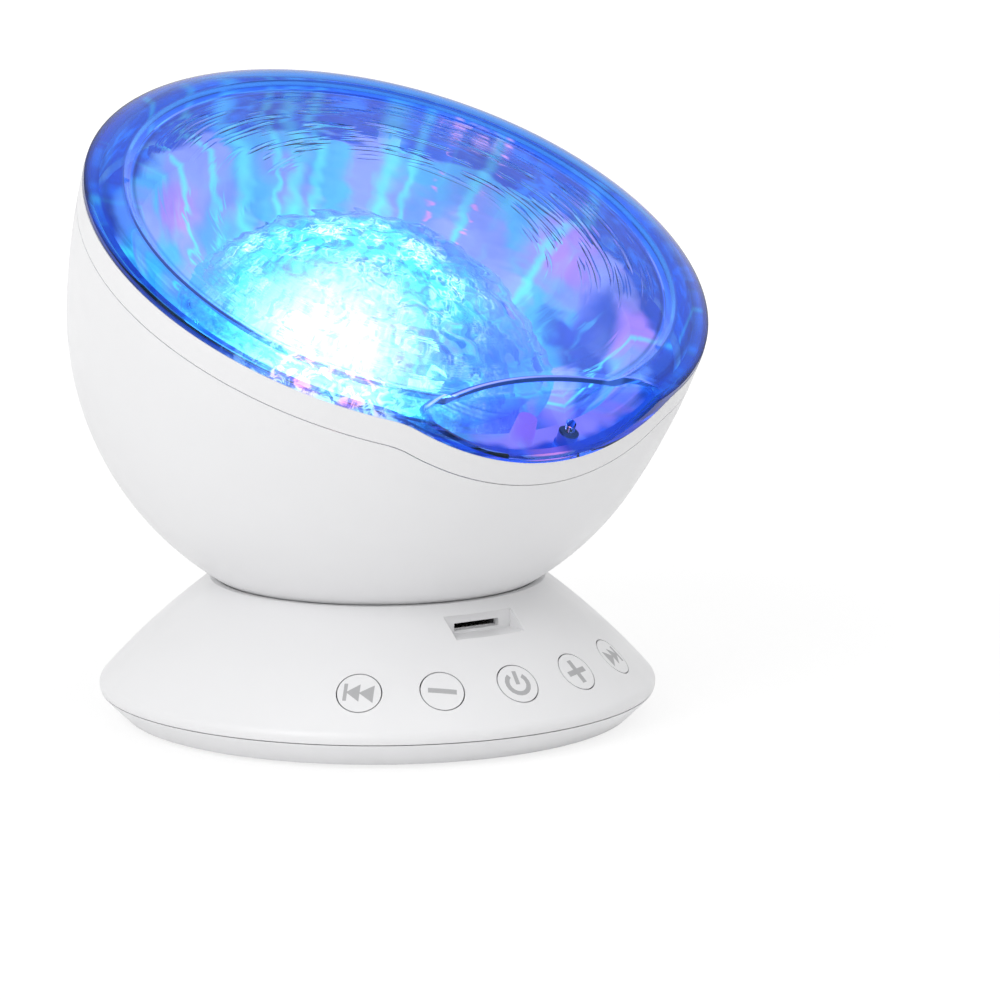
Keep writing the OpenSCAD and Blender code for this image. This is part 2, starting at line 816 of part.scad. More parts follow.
module light_tray() {
    color("aliceblue") in_bowl() difference() {
        union() {
            rotate_extrude() polygon([
                [0, tray_under], [tray_floor_r + tray_wall, tray_under],
                [tray_mouth_r + tray_wall, tray_top - tray_wall], [tray_r, tray_top - tray_wall],
                [tray_r, tray_top], [tray_mouth_r, tray_top], [tray_floor_r, tray_low], [0, tray_low]]);
            translate([0, -post_at, tray_top - eps])
                cylinder(r1 = post_r, r2 = post_tip_r, h = post_top - tray_top);
            intersection() {
                translate([receiver_x, -receiver_at, tray_top - tray_wall])
                    cylinder(r = receiver_post_r, h = receiver_top - receiver_l - tray_top + tray_wall);
                cylinder(r = tray_r, h = reach);
            }
        }
        translate([0, 0, tray_under - past]) cylinder(r = spigot_r + fit_gap, h = tray_wall + 2 * past);
        at_drive() {
            translate([0, 0, tray_under - past]) cylinder(r = bush_r + screw_gap, h = tray_wall + 2 * past);
            for (s = [-1, 1]) translate([s * ear_at, 0, tray_under - past])
                cylinder(r = motor_screw_r + fit_gap, h = tray_wall + 2 * past);
        }
        around(tray_screw_at, tray_screw_angles)
            translate([0, 0, tray_top - tray_wall - past])
                cylinder(r = screw_r + screw_gap, h = tray_wall + 2 * past);
    }
}

module tray_screws() {
    color("silver") in_bowl() around(tray_screw_at, tray_screw_angles)
        translate([0, 0, tray_top]) rotate([180, 0, 0])
            screw(screw_r, tray_screw_l - tray_screw_gap, screw_head_r, screw_head_h);
}

module receiver() {
    color("black") in_bowl() translate([receiver_x, -receiver_at, receiver_top - receiver_l])
        cylinder(r = receiver_r, h = receiver_l);
}

// Lights and drive

module light_board() {
    color("white") in_bowl() translate([0, 0, tray_low]) difference() {
        cylinder(r = light_board_r, h = board_t);
        translate([0, 0, -past]) cylinder(r = light_board_hole_r, h = board_t + 2 * past);
    }
}

module light_chips() {
    color("khaki") in_bowl() around(chip_ring_r, [0:360 / light_count:359.9])
        translate([-chip_w / 2, -chip_w / 2, tray_low + board_t]) cube([chip_w, chip_w, chip_t]);
}

module centre_pillar() {
    color("lightgray") in_bowl() difference() {
        union() {
            translate([0, 0, tray_low]) cylinder(r = pillar_r, h = gear_low - end_play - tray_low);
            translate([0, 0, tray_under - past]) cylinder(r = spigot_r, h = tray_wall + past + eps);
            translate([0, 0, tray_low]) cylinder(r = pin_r, h = pin_top - tray_low);
        }
        translate([0, 0, pin_top - cap_screw_l - past])
            cylinder(r = cap_screw_r + fit_gap, h = cap_screw_l + 2 * past);
    }
}

module pillar_cap() {
    color("silver") in_bowl() translate([0, 0, pin_top]) rotate([180, 0, 0])
        screw(cap_screw_r, cap_screw_l, cap_r, cap_t);
}

// Involute teeth: half a tooth's angle at radius r, and the outline of a whole gear
function involute(a) = tan(a) * 180 / PI - a;
function half_tooth(n, r) = let (pitch = gear_module * n / 2, base = pitch * cos(pressure_angle))
    90 / n - backlash / 2 / pitch * 90 / PI + involute(pressure_angle) - involute(acos(min(1, base / r)));
function polar(r, a) = r * [cos(a), sin(a)];
function gear_outline(n) = let (
        pitch = gear_module * n / 2,
        root = pitch - dedendum * gear_module,
        tip = pitch + addendum * gear_module,
        foot = max(root, pitch * cos(pressure_angle)),
        flank = [for (k = [0:flank_steps]) foot + (tip - foot) * k / flank_steps])
    [for (i = [0:n - 1]) let (mid = 360 * i / n) each concat(
        [polar(root, mid - half_tooth(n, foot) - root_ease)],
        [for (r = flank) polar(r, mid - half_tooth(n, r))],
        [for (k = [flank_steps:-1:0]) polar(flank[k], mid + half_tooth(n, flank[k]))],
        [polar(root, mid + half_tooth(n, foot) + root_ease)])];

module turntable_gear() {
    color("white") in_bowl() translate([0, 0, gear_low]) difference() {
        union() {
            linear_extrude(gear_t) difference() {
                rotate(90 + 180 / turntable_teeth) polygon(gear_outline(turntable_teeth));
                circle(r = ring_in_r);
            }
            for (a = [90, 210, 330]) rotate([0, 0, a]) translate([hub_r - past, -spoke_w / 2, 0])
                cube([ring_in_r - hub_r + 2 * past, spoke_w, spoke_t]);
            cylinder(r = hub_r, h = hub_h);
        }
        translate([0, 0, -past]) cylinder(r = pin_r + fit_gap, h = hub_h + 2 * past);
    }
}

// Half of the dome's round outline, moved inward and cut off at a height
module dome_outline(d) {
    intersection() {
        translate([0, dome_rise - dome_ball_r]) circle(r = dome_ball_r - d, $fn = fine_fn / 2);
        half_plane(d, reach);
    }
}

// A dome with a skirt that covers the gears, on a foot that stands on the turntable's ring
module ripple_dome() {
    color("lightcyan", 0.6) in_bowl() translate([0, 0, gear_top]) rotate_extrude() {
        translate([0, dome_gap]) difference() {
            dome_outline(0);
            dome_outline(dome_wall);
            translate([0, -past]) square([dome_foot_in, dome_wall + 2 * past]);
        }
        translate([dome_foot_in, 0]) square([dome_foot_w, dome_gap + eps]);
    }
}

module drive_pinion() {
    color("ivory") in_bowl() at_drive() {
        translate([0, 0, gear_low]) linear_extrude(gear_t) rotate(-90) polygon(gear_outline(pinion_teeth));
        translate([0, 0, tray_under - shaft_sink])
            cylinder(r = shaft_r, h = gear_top - tray_under + shaft_sink);
    }
}

module drive_motor() {
    color("gray") in_bowl() at_drive() difference() {
        union() {
            translate([0, 0, tray_under - motor_l]) cylinder(r = motor_r, h = motor_l);
            translate([0, 0, tray_under - eps]) cylinder(r = bush_r, h = bush_h + eps);
            for (s = [-1, 1]) translate([s * ear_at, 0, tray_under - ear_t]) {
                cylinder(r = ear_r, h = ear_t);
                translate([-s * ear_at / 2 - ear_web / 2, -ear_r, 0]) cube([ear_web, 2 * ear_r, ear_t]);
            }
        }
        translate([0, 0, tray_under - shaft_sink - shaft_end_gap]) cylinder(r = shaft_r + fit_gap, h = reach);
        for (s = [-1, 1]) translate([s * ear_at, 0, tray_under - ear_t - past])
            cylinder(r = motor_screw_r + screw_gap, h = ear_t + 2 * past);
    }
}

module motor_screws() {
    color("silver") in_bowl() at_drive() for (s = [-1, 1]) translate([s * ear_at, 0, tray_under - ear_t])
        screw(motor_screw_r, motor_screw_l, motor_screw_head_r, screw_head_h);
}

base_shell();
base_pan();
rubber_feet();
pan_screws();
neck_screws();
previous_button();
volume_down_button();
power_button();
volume_up_button();
next_button();
switch_strip();
snap_domes();
main_board();
power_inlet();
card_board();
card_socket();
speaker_frame();
speaker_cone();
speaker_magnet();
bowl_shell();
rim_band();
lens_cover();
light_tray();
tray_screws();
receiver();
light_board();
light_chips();
centre_pillar();
pillar_cap();
turntable_gear();
ripple_dome();
drive_pinion();
drive_motor();
motor_screws();
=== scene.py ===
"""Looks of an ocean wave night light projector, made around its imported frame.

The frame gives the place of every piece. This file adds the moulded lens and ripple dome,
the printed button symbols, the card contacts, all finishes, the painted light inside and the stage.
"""

import json
import math
from collections import namedtuple

import bmesh
import bpy
import numpy as np
from bpy.props import FloatProperty, FloatVectorProperty, IntProperty, PointerProperty
from mathutils import Matrix, Quaternion, Vector
from mathutils.bvhtree import BVHTree


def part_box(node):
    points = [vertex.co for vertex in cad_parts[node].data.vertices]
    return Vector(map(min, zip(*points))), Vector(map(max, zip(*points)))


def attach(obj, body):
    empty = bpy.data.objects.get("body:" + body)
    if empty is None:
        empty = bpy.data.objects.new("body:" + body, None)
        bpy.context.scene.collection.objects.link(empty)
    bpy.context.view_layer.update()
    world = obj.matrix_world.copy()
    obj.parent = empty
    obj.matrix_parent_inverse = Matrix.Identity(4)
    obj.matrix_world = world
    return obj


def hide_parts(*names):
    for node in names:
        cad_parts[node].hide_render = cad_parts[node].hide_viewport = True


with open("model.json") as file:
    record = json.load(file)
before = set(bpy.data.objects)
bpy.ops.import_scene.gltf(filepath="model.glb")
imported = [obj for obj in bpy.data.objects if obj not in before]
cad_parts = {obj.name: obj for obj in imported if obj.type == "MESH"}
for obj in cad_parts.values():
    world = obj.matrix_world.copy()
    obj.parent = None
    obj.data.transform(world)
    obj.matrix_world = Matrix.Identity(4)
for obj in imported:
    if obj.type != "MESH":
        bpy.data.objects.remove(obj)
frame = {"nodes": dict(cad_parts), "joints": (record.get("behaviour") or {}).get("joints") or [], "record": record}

bl_info = {
    "name": "Ocean Wave Projector",
    "version": (1, 0, 0),
    "blender": (4, 5, 0),
    "location": "3D View > Sidebar > Projector",
    "description": "Dresses the frame of a night light projector with lens, glow and finishes",
    "category": "Object",
}

# Units, the file of both boxes, and the distance at which points are merged
MM = 0.001
WELD = 0.000002

# Points round a turned piece, and the angle at which an edge stays sharp
LENS_POINTS = 480
DOME_POINTS = 240
HOLE_POINTS = 40
SHARP_LENS = math.radians(35)
SHARP_SMALL = math.radians(40)

# The tilted bowl, from the turntable's joint
TURN = next(joint for joint in frame["joints"] if joint["name"] == "ripple_turn")
BOWL = Vector(TURN["pos_m"])
TILT = math.atan2(-TURN["axis"][1], TURN["axis"][2])
BOWL_TURN = Matrix.Rotation(TILT, 3, "X")
BOWL_AXIS = BOWL_TURN @ Vector((0, 0, 1))
BUTTONS = ("previous", "volume_down", "power", "volume_up", "next")
BowlPlace = namedtuple("BowlPlace", "radius angle height position")


def from_bowl(points):
    """Points in the tilted bowl's own frame, placed in the object's frame."""
    return np.asarray(points, float) @ np.array(BOWL_TURN).T + np.array(BOWL)


def to_bowl(points):
    """Points in the object's frame, seen from the tilted bowl."""
    return (np.asarray(points, float) - np.array(BOWL)) @ np.array(BOWL_TURN)


def node_points(node):
    """Corner points of one CAD node as an array."""
    points = np.empty(len(frame["nodes"][node].data.vertices) * 3)
    frame["nodes"][node].data.vertices.foreach_get("co", points)
    return points.reshape(-1, 3)


def length_property(name, description, millimetres):
    """A length in the panel, given in millimetres."""
    return FloatProperty(name=name, description=description, default=millimetres * MM, unit="LENGTH")


def colour_property(name, description, default):
    """A colour in the panel."""
    return FloatVectorProperty(name=name, description=description, default=default, subtype="COLOR")


class LensSizes(bpy.types.PropertyGroup):
    """Outline of the lens cover, measured from the bowl's centre along its axis."""

    step_radius: length_property("Step radius", "Where the rippled middle ends", 62.4)
    step_height: length_property("Step height", "Height of the rippled middle's edge", 21.2)
    top_height: length_property("Top height", "Height of the lens's middle", 23.5)
    ridge_radius: length_property("Ridge radius", "Inner edge of the ridge", 64.2)
    crest_radius: length_property("Crest radius", "Outer edge of the ridge", 65.1)
    crest_height: length_property("Crest height", "Height of the ridge", 22.6)
    edge_radius: length_property("Edge radius", "Outer radius of the lens", 72.775)
    edge_curve: length_property("Edge curve", "Radius of the outer band's curve", 12.26)
    wall: length_property("Wall", "Thickness of the lens", 2)
    seat_height: length_property("Seat height", "Height of the rim under the lens", 19.125)
    dip_depth: length_property("Dip depth", "Depth of the rim's dip at the front", 7.6)
    dip_radius: length_property("Dip radius", "Radius of the dip", 84)
    shoulder_radius: length_property("Shoulder radius", "Radius beside the dip", 14)
    lip_height: length_property("Lip height", "Height of the front lip's outer edge", 12.6)
    lip_slope: FloatProperty(
        name="Lip slope", description="Slope of the front lip", default=math.radians(18), subtype="ANGLE")
    lip_width: length_property("Lip width", "Width of the front lip", 16.875)
    scoop_radius: length_property("Scoop radius", "Radius of the step behind the lip", 66.7)
    ripple_depth: length_property("Ripple depth", "Depth of the moulded ripples", 0.14)
    ripple_pitch: length_property("Ripple pitch", "Distance between ripples", 5.5)
    round_inside: length_property("Round inside", "Radius inside which the ripples are round", 30)
    hole_radius: length_property("Receiver hole", "Radius of the receiver hole", 1.15)


class GlowSizes(bpy.types.PropertyGroup):
    """The painted light inside the bowl."""

    dome_strength: FloatProperty(
        name="Dome strength", description="Brightness of the ripple dome", default=0.52)
    wall_strength: FloatProperty(
        name="Wall strength", description="Brightness of the tray's wall", default=1.0)
    dome_depth: length_property("Dome ripple depth", "Depth of the dome's ripples", 1.0)
    dome_pitch: length_property("Dome pitch", "Distance between the dome's ripples", 6)


class ContactSizes(bpy.types.PropertyGroup):
    """The row of contact springs in the card socket."""

    count: IntProperty(name="Count", description="Number of springs", default=8)
    pitch: length_property("Pitch", "Distance between springs", 1.1)
    width: length_property("Width", "Width of a spring", 0.6)
    rise: length_property("Rise", "Height of a spring's hump", 0.62)
    reach: length_property("Reach", "Length of a spring", 4.5)
    sheet: length_property("Sheet", "Thickness of the spring strip", 0.12)
    floor: length_property("Floor", "Height of the card's path above the socket's underside", 0.42)


class Finishes(bpy.types.PropertyGroup):
    """Main colours of the outside."""

    plastic: colour_property("Plastic", "White of the shells", (0.8, 0.8, 0.81))
    ink: colour_property("Ink", "Grey of the button symbols", (0.42, 0.42, 0.43))
    lens: colour_property("Lens", "Tint of the lens's middle", (0.1, 0.34, 0.97))
    lens_band: colour_property("Lens band", "Tint of the thick outer band", (0.03, 0.27, 0.95))
    lens_lip: colour_property("Lens lip", "Tint of the front lip", (0.075, 0.17, 0.85))
    # The lens edge colour is painted shade along the lens's outer edge
    lens_edge_shade: colour_property("Lens edge", "Tint along the lens's outer edge", (0.006, 0.015, 0.16))


class StageSizes(bpy.types.PropertyGroup):
    """Camera, floor and lights."""

    camera_place: FloatVectorProperty(
        name="Camera place", description="Where the camera stands",
        default=(-520.8 * MM, -803.8 * MM, 217.57 * MM), subtype="TRANSLATION", unit="LENGTH")
    camera_aim: FloatVectorProperty(
        name="Camera aim", description="Direction in which the camera looks",
        default=(0.5595, 0.8103, -0.1740), subtype="DIRECTION")
    camera_roll: FloatProperty(
        name="Camera roll", description="Turn about the line of sight",
        default=math.radians(0.15), subtype="ANGLE")
    camera_lens: FloatProperty(
        name="Focal length", description="In millimetres on a 36 mm sensor", default=152.28)
    floor_size: FloatProperty(
        name="Floor size", description="Side of the floor", default=6.0, unit="LENGTH")
    room_light: FloatProperty(
        name="Room light", description="Strength of the even light from all sides", default=0.67)
    left_power: FloatProperty(
        name="Left softbox", description="Power of the softbox on the left", default=8.6, subtype="POWER")
    top_power: FloatProperty(
        name="Top softbox", description="Power of the softbox above", default=4.6, subtype="POWER")


class Shader:
    """One material's node tree, built with short calls."""

    def __init__(self, name, material=None):
        self.material = material or bpy.data.materials.new(name)
        self.material.use_nodes = True
        self.nodes = self.material.node_tree.nodes
        self.links = self.material.node_tree.links
        self.surface = self.nodes["Principled BSDF"]
        self.place = self.nodes.new("ShaderNodeTexCoord").outputs["Object"]

    def feed(self, socket, value):
        """Links a socket, or sets its own value."""
        if isinstance(value, bpy.types.NodeSocket):
            self.links.new(value, socket)
        else:
            socket.default_value = value

    def node(self, kind, inputs, **settings):
        """A node with its settings and its inputs, by name or by number."""
        made = self.nodes.new("ShaderNode" + kind)
        for key, value in settings.items():
            setattr(made, key, value)
        for key, value in inputs.items():
            self.feed(made.inputs[key], value)
        return made

    def math(self, operation, *values):
        """The result of one Math node."""
        return self.node("Math", dict(enumerate(values)), operation=operation).outputs[0]

    def total(self, *values):
        """The sum of several values."""
        result = values[0]
        for value in values[1:]:
            result = self.math("ADD", result, value)
        return result

    def product(self, *values):
        """The product of several values."""
        result = values[0]
        for value in values[1:]:
            result = self.math("MULTIPLY", result, value)
        return result

    def noise(self, vector, scale, detail=2.0, roughness=0.5, distortion=0.0):
        """A noise value from 0 to 1."""
        inputs = {"Vector": vector, "Scale": scale, "Detail": detail, "Roughness": roughness,
                  "Distortion": distortion}
        return self.node("TexNoise", inputs).outputs["Fac"]

    def span(self, value, low, high, start=0.0, end=1.0):
        """A value carried smoothly from one range to another, and held at its ends."""
        inputs = {"Value": value, "From Min": low, "From Max": high, "To Min": start, "To Max": end}
        return self.node("MapRange", inputs, interpolation_type="SMOOTHSTEP").outputs[0]

    def mix(self, share, first, second):
        """A colour between two colours."""
        return self.node("Mix", {0: share, 6: first, 7: second}, data_type="RGBA").outputs[2]

    def fade(self, value, low, high):
        """One up to the low value, and falling smoothly to zero at the high one."""
        return self.span(value, low, high, 1.0, 0.0)

    def near(self, value, middle, full, gone):
        """One close to a middle value, and falling to zero on both sides of it."""
        return self.fade(self.math("ABSOLUTE", self.math("SUBTRACT", value, middle)), full, gone)

    def held(self, *values):
        """The sum of several values, held at one."""
        return self.math("MINIMUM", 1.0, self.total(*values))

    def vector(self, operation, *values):
        """The outputs of one Vector Math node."""
        return self.node("VectorMath", dict(enumerate(values)), operation=operation).outputs

    def scaled(self, vector, factor):
        """A vector times a value."""
        return self.node("VectorMath", {0: vector, "Scale": factor}, operation="SCALE").outputs[0]

    def flat(self, place):
        """A place laid down on the plane of the bowl's mouth."""
        return self.vector("MULTIPLY", place, (1, 1, 0))[0]

    def spoke(self, place, around, along):
        """A place that turns with the angle about the bowl's axis, and moves with a second value."""
        turn = self.vector("NORMALIZE", self.flat(place))[0]
        move = self.node("CombineXYZ", {2: along}).outputs[0]
        return self.vector("ADD", self.scaled(turn, around), move)[0]

    def ramp(self, value, low, high, stops):
        """A colour from a row of places and colours between two values."""
        made = self.node("ValToRGB", {0: self.math("DIVIDE", self.math("SUBTRACT", value, low), high - low)})
        row = made.color_ramp.elements
        places = [(place - low) / (high - low) for place, colour in stops]
        row[0].position, row[1].position = places[0], places[-1]
        for place in places[1:-1]:
            row.new(place)
        for element, (place, colour) in zip(row, stops):
            element.color = opaque(colour)
        return made.outputs["Color"]

    def bump(self, height, strength, distance):
        """A bumped normal from a height."""
        inputs = {"Strength": strength, "Distance": distance, "Height": height}
        return self.node("Bump", inputs).outputs[0]

    def set(self, **inputs):
        """Sets or links the surface's inputs, named with underscores for spaces."""
        for key, value in inputs.items():
            self.feed(self.surface.inputs[key.replace("_", " ")], value)

    def bowl_place(self):
        """Radius, angle from the front, height and position in the bowl's frame, in millimetres."""
        inputs = {"Vector": self.place, "Location": BOWL, "Rotation": (TILT, 0, 0), "Scale": (MM, MM, MM)}
        position = self.node("Mapping", inputs, vector_type="TEXTURE").outputs[0]
        parts = self.node("SeparateXYZ", {0: position}).outputs
        squares = self.total(self.product(parts[0], parts[0]), self.product(parts[1], parts[1]))
        angle = self.math("ARCTAN2", parts[0], self.math("MULTIPLY", parts[1], -1.0))
        return BowlPlace(self.math("SQRT", squares), angle, parts[2], position)


def opaque(colour):
    """A colour with full alpha."""
    return (*colour, 1.0)


def shade(colour, factor):
    """A colour made lighter or darker."""
    return tuple(min(1.0, channel * factor) for channel in colour)


def moulded_plastic(name, colour, roughness=0.4, grain=0.25):
    """Satin plastic with a spark-eroded mould grain and faint flow marks."""
    shader = Shader(name)
    flow = shader.noise(shader.place, 22, 3.0)
    cloud = shader.noise(shader.place, 140, 2.0)
    fine = shader.noise(shader.place, 3800, 1.0)
    shader.set(
        Base_Color=shader.mix(flow, opaque(shade(colour, 0.975)), opaque(shade(colour, 1.02))),
        Roughness=shader.span(cloud, 0.3, 0.7, roughness - 0.05, roughness + 0.06),
        Normal=shader.bump(fine, grain, 0.00004),
    )
    return shader.material


# Last place with the painted shade and light and first place without them, on the bowl's inside, the rim's bore
# and the rim's foot, in millimetres
BOWL_INSIDE = (69.3, 69.8)
RIM_BORE = (70.8, 71.1)
RIM_FOOT = (6.0, 7.0)


def rim_plastic(name, colour, strength):
    """The rim's satin plastic, painted dark blue as shade and with painted light from the bowl on its inside."""
    material = moulded_plastic(name, colour, 0.38)
    shader = Shader(name, material)
    bowl = shader.bowl_place()
    in_bowl = shader.fade(shader.vector("LENGTH", bowl.position)["Value"], *BOWL_INSIDE)
    in_rim = shader.product(shader.fade(bowl.radius, *RIM_BORE), shader.span(bowl.height, *RIM_FOOT))
    inside = shader.math("MAXIMUM", in_bowl, in_rim)
    tone, level = inner_light(shader)
    outside = shader.surface.inputs["Base Color"].links[0].from_socket
    shader.set(
        # The inside is painted dark blue as painted shade, and glows with the bowl's painted light
        Base_Color=shader.mix(inside, outside, (0.06, 0.09, 0.25, 1)),
        Emission_Color=tone,
        Emission_Strength=shader.product(strength, level, inside),
    )
    return material


def rubber(name, colour):
    """Matt rubber with a dusty, pitted skin."""
    shader = Shader(name)
    pits = shader.noise(shader.place, 2200, 3.0, 0.7)
    dust = shader.noise(shader.place, 90, 4.0)
    shader.set(
        Base_Color=shader.mix(dust, opaque(shade(colour, 0.8)), opaque(shade(colour, 1.5))),
        Roughness=shader.span(pits, 0.2, 0.8, 0.7, 0.9),
        Normal=shader.bump(pits, 0.5, 0.0001),
    )
    return shader.material


def brushed_metal(name, colour, roughness=0.3, lines=(900, 900, 60)):
    """Metal with fine drawn lines and dull patches."""
    shader = Shader(name)
    stretched = shader.node("Mapping", {"Vector": shader.place, "Scale": lines}).outputs[0]
    drawn = shader.noise(stretched, 4, 3.0, 0.7)
    dull = shader.noise(shader.place, 260, 3.0)
    shader.set(
        Base_Color=shader.mix(dull, opaque(shade(colour, 0.82)), opaque(shade(colour, 1.12))),
        Metallic=1.0,
        Roughness=shader.span(dull, 0.3, 0.7, roughness - 0.08, roughness + 0.14),
        Normal=shader.bump(drawn, 0.25, 0.00005),
    )
    return shader.material


def circuit_board(name, colour):
    """Solder mask over copper tracks and a woven glass core."""
    shader = Shader(name)
    grid = {"Vector": shader.place, "Scale": 420.0, "Mortar Size": 0.03, "Mortar Smooth": 0.3,
            "Color1": opaque(colour), "Color2": opaque(shade(colour, 0.85)),
            "Mortar": opaque(shade(colour, 1.9))}
    tracks = shader.node("TexBrick", grid)
    weave = shader.noise(shader.place, 3000, 2.0)
    shader.set(
        Base_Color=shader.mix(shader.span(weave, 0.4, 0.6, 0.0, 0.15), tracks.outputs["Color"],
                              opaque(shade(colour, 0.6))),
        Roughness=shader.span(weave, 0.3, 0.7, 0.28, 0.4),
        Normal=shader.bump(tracks.outputs["Fac"], 0.4, 0.00005),
    )
    return shader.material


def paper_cone(name, colour):
    """Pressed paper with fibres."""
    shader = Shader(name)
    fibres = shader.noise(shader.place, 1400, 5.0, 0.75, 1.5)
    shader.set(
        Base_Color=shader.mix(fibres, opaque(shade(colour, 0.6)), opaque(shade(colour, 1.8))),
        Roughness=shader.span(fibres, 0.2, 0.8, 0.75, 0.95),
        Normal=shader.bump(fibres, 0.6, 0.0001),
    )
    return shader.material


# Heights between which the receiver's side with painted light ends and its dark face begins, in millimetres
WINDOW_TOP = (12.3, 12.6)


def dark_window(name, strength):
    """Deep red-black plastic that lets infrared through, with the bowl's painted light on its side."""
    shader = Shader(name)
    haze = shader.noise(shader.place, 500, 2.0)
    side = shader.span(shader.bowl_place().height, *WINDOW_TOP, 1.2, 0.0)
    tone, level = inner_light(shader)
    shader.set(
        Base_Color=shader.mix(haze, (0.006, 0.003, 0.006, 1), (0.02, 0.008, 0.016, 1)),
        Roughness=shader.span(haze, 0.3, 0.7, 0.08, 0.16),
        Emission_Color=tone,
        Emission_Strength=shader.product(strength, level, side),
    )
    return shader.material


# Heights between which the lens's lip ends and its top begins, in millimetres
LENS_TOP = (16.6, 17.4)
# Angles from the front in degrees: the middle of the dented side, and of the rim nearest to the lamp, where light
# and glints are painted
DENTED_SIDE = 135
BRIGHT_RIM = -44
# Colours of the painted light in the lens's edges and sparks, of its painted highlight, and of the painted
# reflection streaks in its band
EDGE_GLOW_BLUE = (0.07, 0.2, 0.85, 1)
BROW_HIGHLIGHT_PALE = (0.55, 0.55, 1.0, 1)
SPARK_CYAN = (0.45, 0.9, 1.0, 1)
SPARK_PINK = (1.0, 0.4, 0.75, 1)
REFLECTION_STREAK_BLUE = (0.08, 0.42, 1.0, 1)


def lens_dents(shader, bowl):
    """Small dents in rows along the rim, mostly on one side of the rippled middle."""
    rows = shader.spoke(bowl.position, 3.2, shader.math("DIVIDE", bowl.radius, 1.4))
    spots = shader.span(shader.noise(rows, 1.0, 0.5, 0.4), 0.57, 0.72)
    zone = shader.product(shader.span(bowl.radius, 28.0, 40.0), shader.fade(bowl.radius, 60.0, 61.0))
    away = offset_angle(shader, bowl.angle, DENTED_SIDE)
    return shader.product(spots, zone, shader.span(away, math.radians(55), math.radians(95), 1.0, 0.06))


def lens_tint(shader, bowl, dents, finishes, sizes):
    """The lens's colour: clear in the middle, ringed at its step and ridge with painted shade and highlight, deep
    in its band and lip, with painted shade along its edge and in its dents, and painted reflection streaks in its
    band.
    """
    clear, band, lip = finishes.lens, finishes.lens_band, finishes.lens_lip
    step, ridge, crest, edge = (size / MM for size in (
        sizes.step_radius, sizes.ridge_radius, sizes.crest_radius, sizes.edge_radius))
    # The darker and lighter rings at the step, ridge and band, and the dark outer edge, are painted shade and
    # painted highlight where the lens bends the light
    rings = shader.ramp(bowl.radius, 55.0, 75.0, (
        (step - 1.6, clear), (step - 0.8, shade(band, 0.5)), (step - 0.2, shade(clear, 0.9)),
        (step + 0.6, shade(band, 0.4)), (ridge - 0.5, shade(clear, 0.8)), (ridge + 0.2, shade(band, 0.4)),
        (crest - 0.1, shade(band, 1.05)), (crest + 1.9, band), (crest + 3.4, shade(band, 0.55)),
        (crest + 4.9, band), (crest + 6.9, shade(band, 0.8)), (edge - 0.175, finishes.lens_edge_shade)))
    # The dents are painted darker, as painted shade
    rings = shader.mix(shader.product(dents, 0.35), rings, opaque(shade(band, 0.35)))
    # Lighter streaks along the band are painted reflections
    flow = shader.spoke(bowl.position, 3.0, shader.math("DIVIDE", bowl.radius, 2.4))
    reflection_streaks = shader.span(shader.noise(flow, 1.0, 1.0, 0.5, 0.4), 0.5, 0.66, 0.0, 0.7)
    on_band = shader.product(shader.span(bowl.radius, 64.5, 66.0), shader.fade(bowl.radius, 71.0, 72.2))
    rings = shader.mix(shader.product(reflection_streaks, on_band), rings, REFLECTION_STREAK_BLUE)
    cloud = shader.noise(bowl.position, 0.08, 2.0)
    cloudy = shader.mix(cloud, opaque(shade(lip, 0.85)), opaque(shade(lip, 1.4)))
    low = shader.mix(shader.span(bowl.radius, 55.5, 56.5), opaque(clear), cloudy)
    return shader.mix(shader.span(bowl.height, *LENS_TOP), low, rings)


def lens_painted_light(shader, bowl, sizes):
    """Painted light in the near rim, the ridge and the step behind the lip, with painted glints and a painted
    highlight along the step's top: its colour and its strength.
    """
    centre = (0.0, -LensForm(sizes).scoop_at / MM, 0.0)
    scoop = sizes.scoop_radius / MM
    from_scoop = shader.vector("DISTANCE", shader.flat(bowl.position), centre)["Value"]
    bright = math.radians(BRIGHT_RIM)
    inner = shader.fade(bowl.radius, 68.0, 70.0)
    step = shader.product(shader.near(from_scoop, scoop + 1.0, 1.0, 1.6), inner)
    brow_highlight = shader.product(
        shader.near(from_scoop, scoop + 0.45, 0.15, 0.4), inner, shader.span(bowl.height, 18.0, 20.0),
        shader.span(bowl.angle, math.radians(-10), math.radians(25), 1.0, 0.3))
    ridge = shader.product(shader.near(bowl.radius, 63.2, 0.8, 1.8), shader.span(bowl.height, *LENS_TOP))
    rim = shader.product(
        shader.span(bowl.radius, 59.5, 62.5),
        shader.near(bowl.angle, bright, math.radians(6), math.radians(24)))
    glints = shader.product(rim, shader.span(shader.noise(bowl.position, 0.34, 3.0, 0.65, 0.8), 0.44, 0.6))
    pink = shader.product(
        shader.span(shader.noise(bowl.position, 0.14, 1.0), 0.38, 0.52),
        shader.near(bowl.angle, bright, math.radians(6), math.radians(14)))
    colour = shader.mix(rim, EDGE_GLOW_BLUE, shader.mix(pink, SPARK_CYAN, SPARK_PINK))
    strength = shader.total(
        shader.product(rim, 0.2), glints, shader.product(step, 0.3), shader.product(brow_highlight, 0.35),
        shader.product(ridge, 0.38))
    return shader.mix(brow_highlight, colour, BROW_HIGHLIGHT_PALE), strength


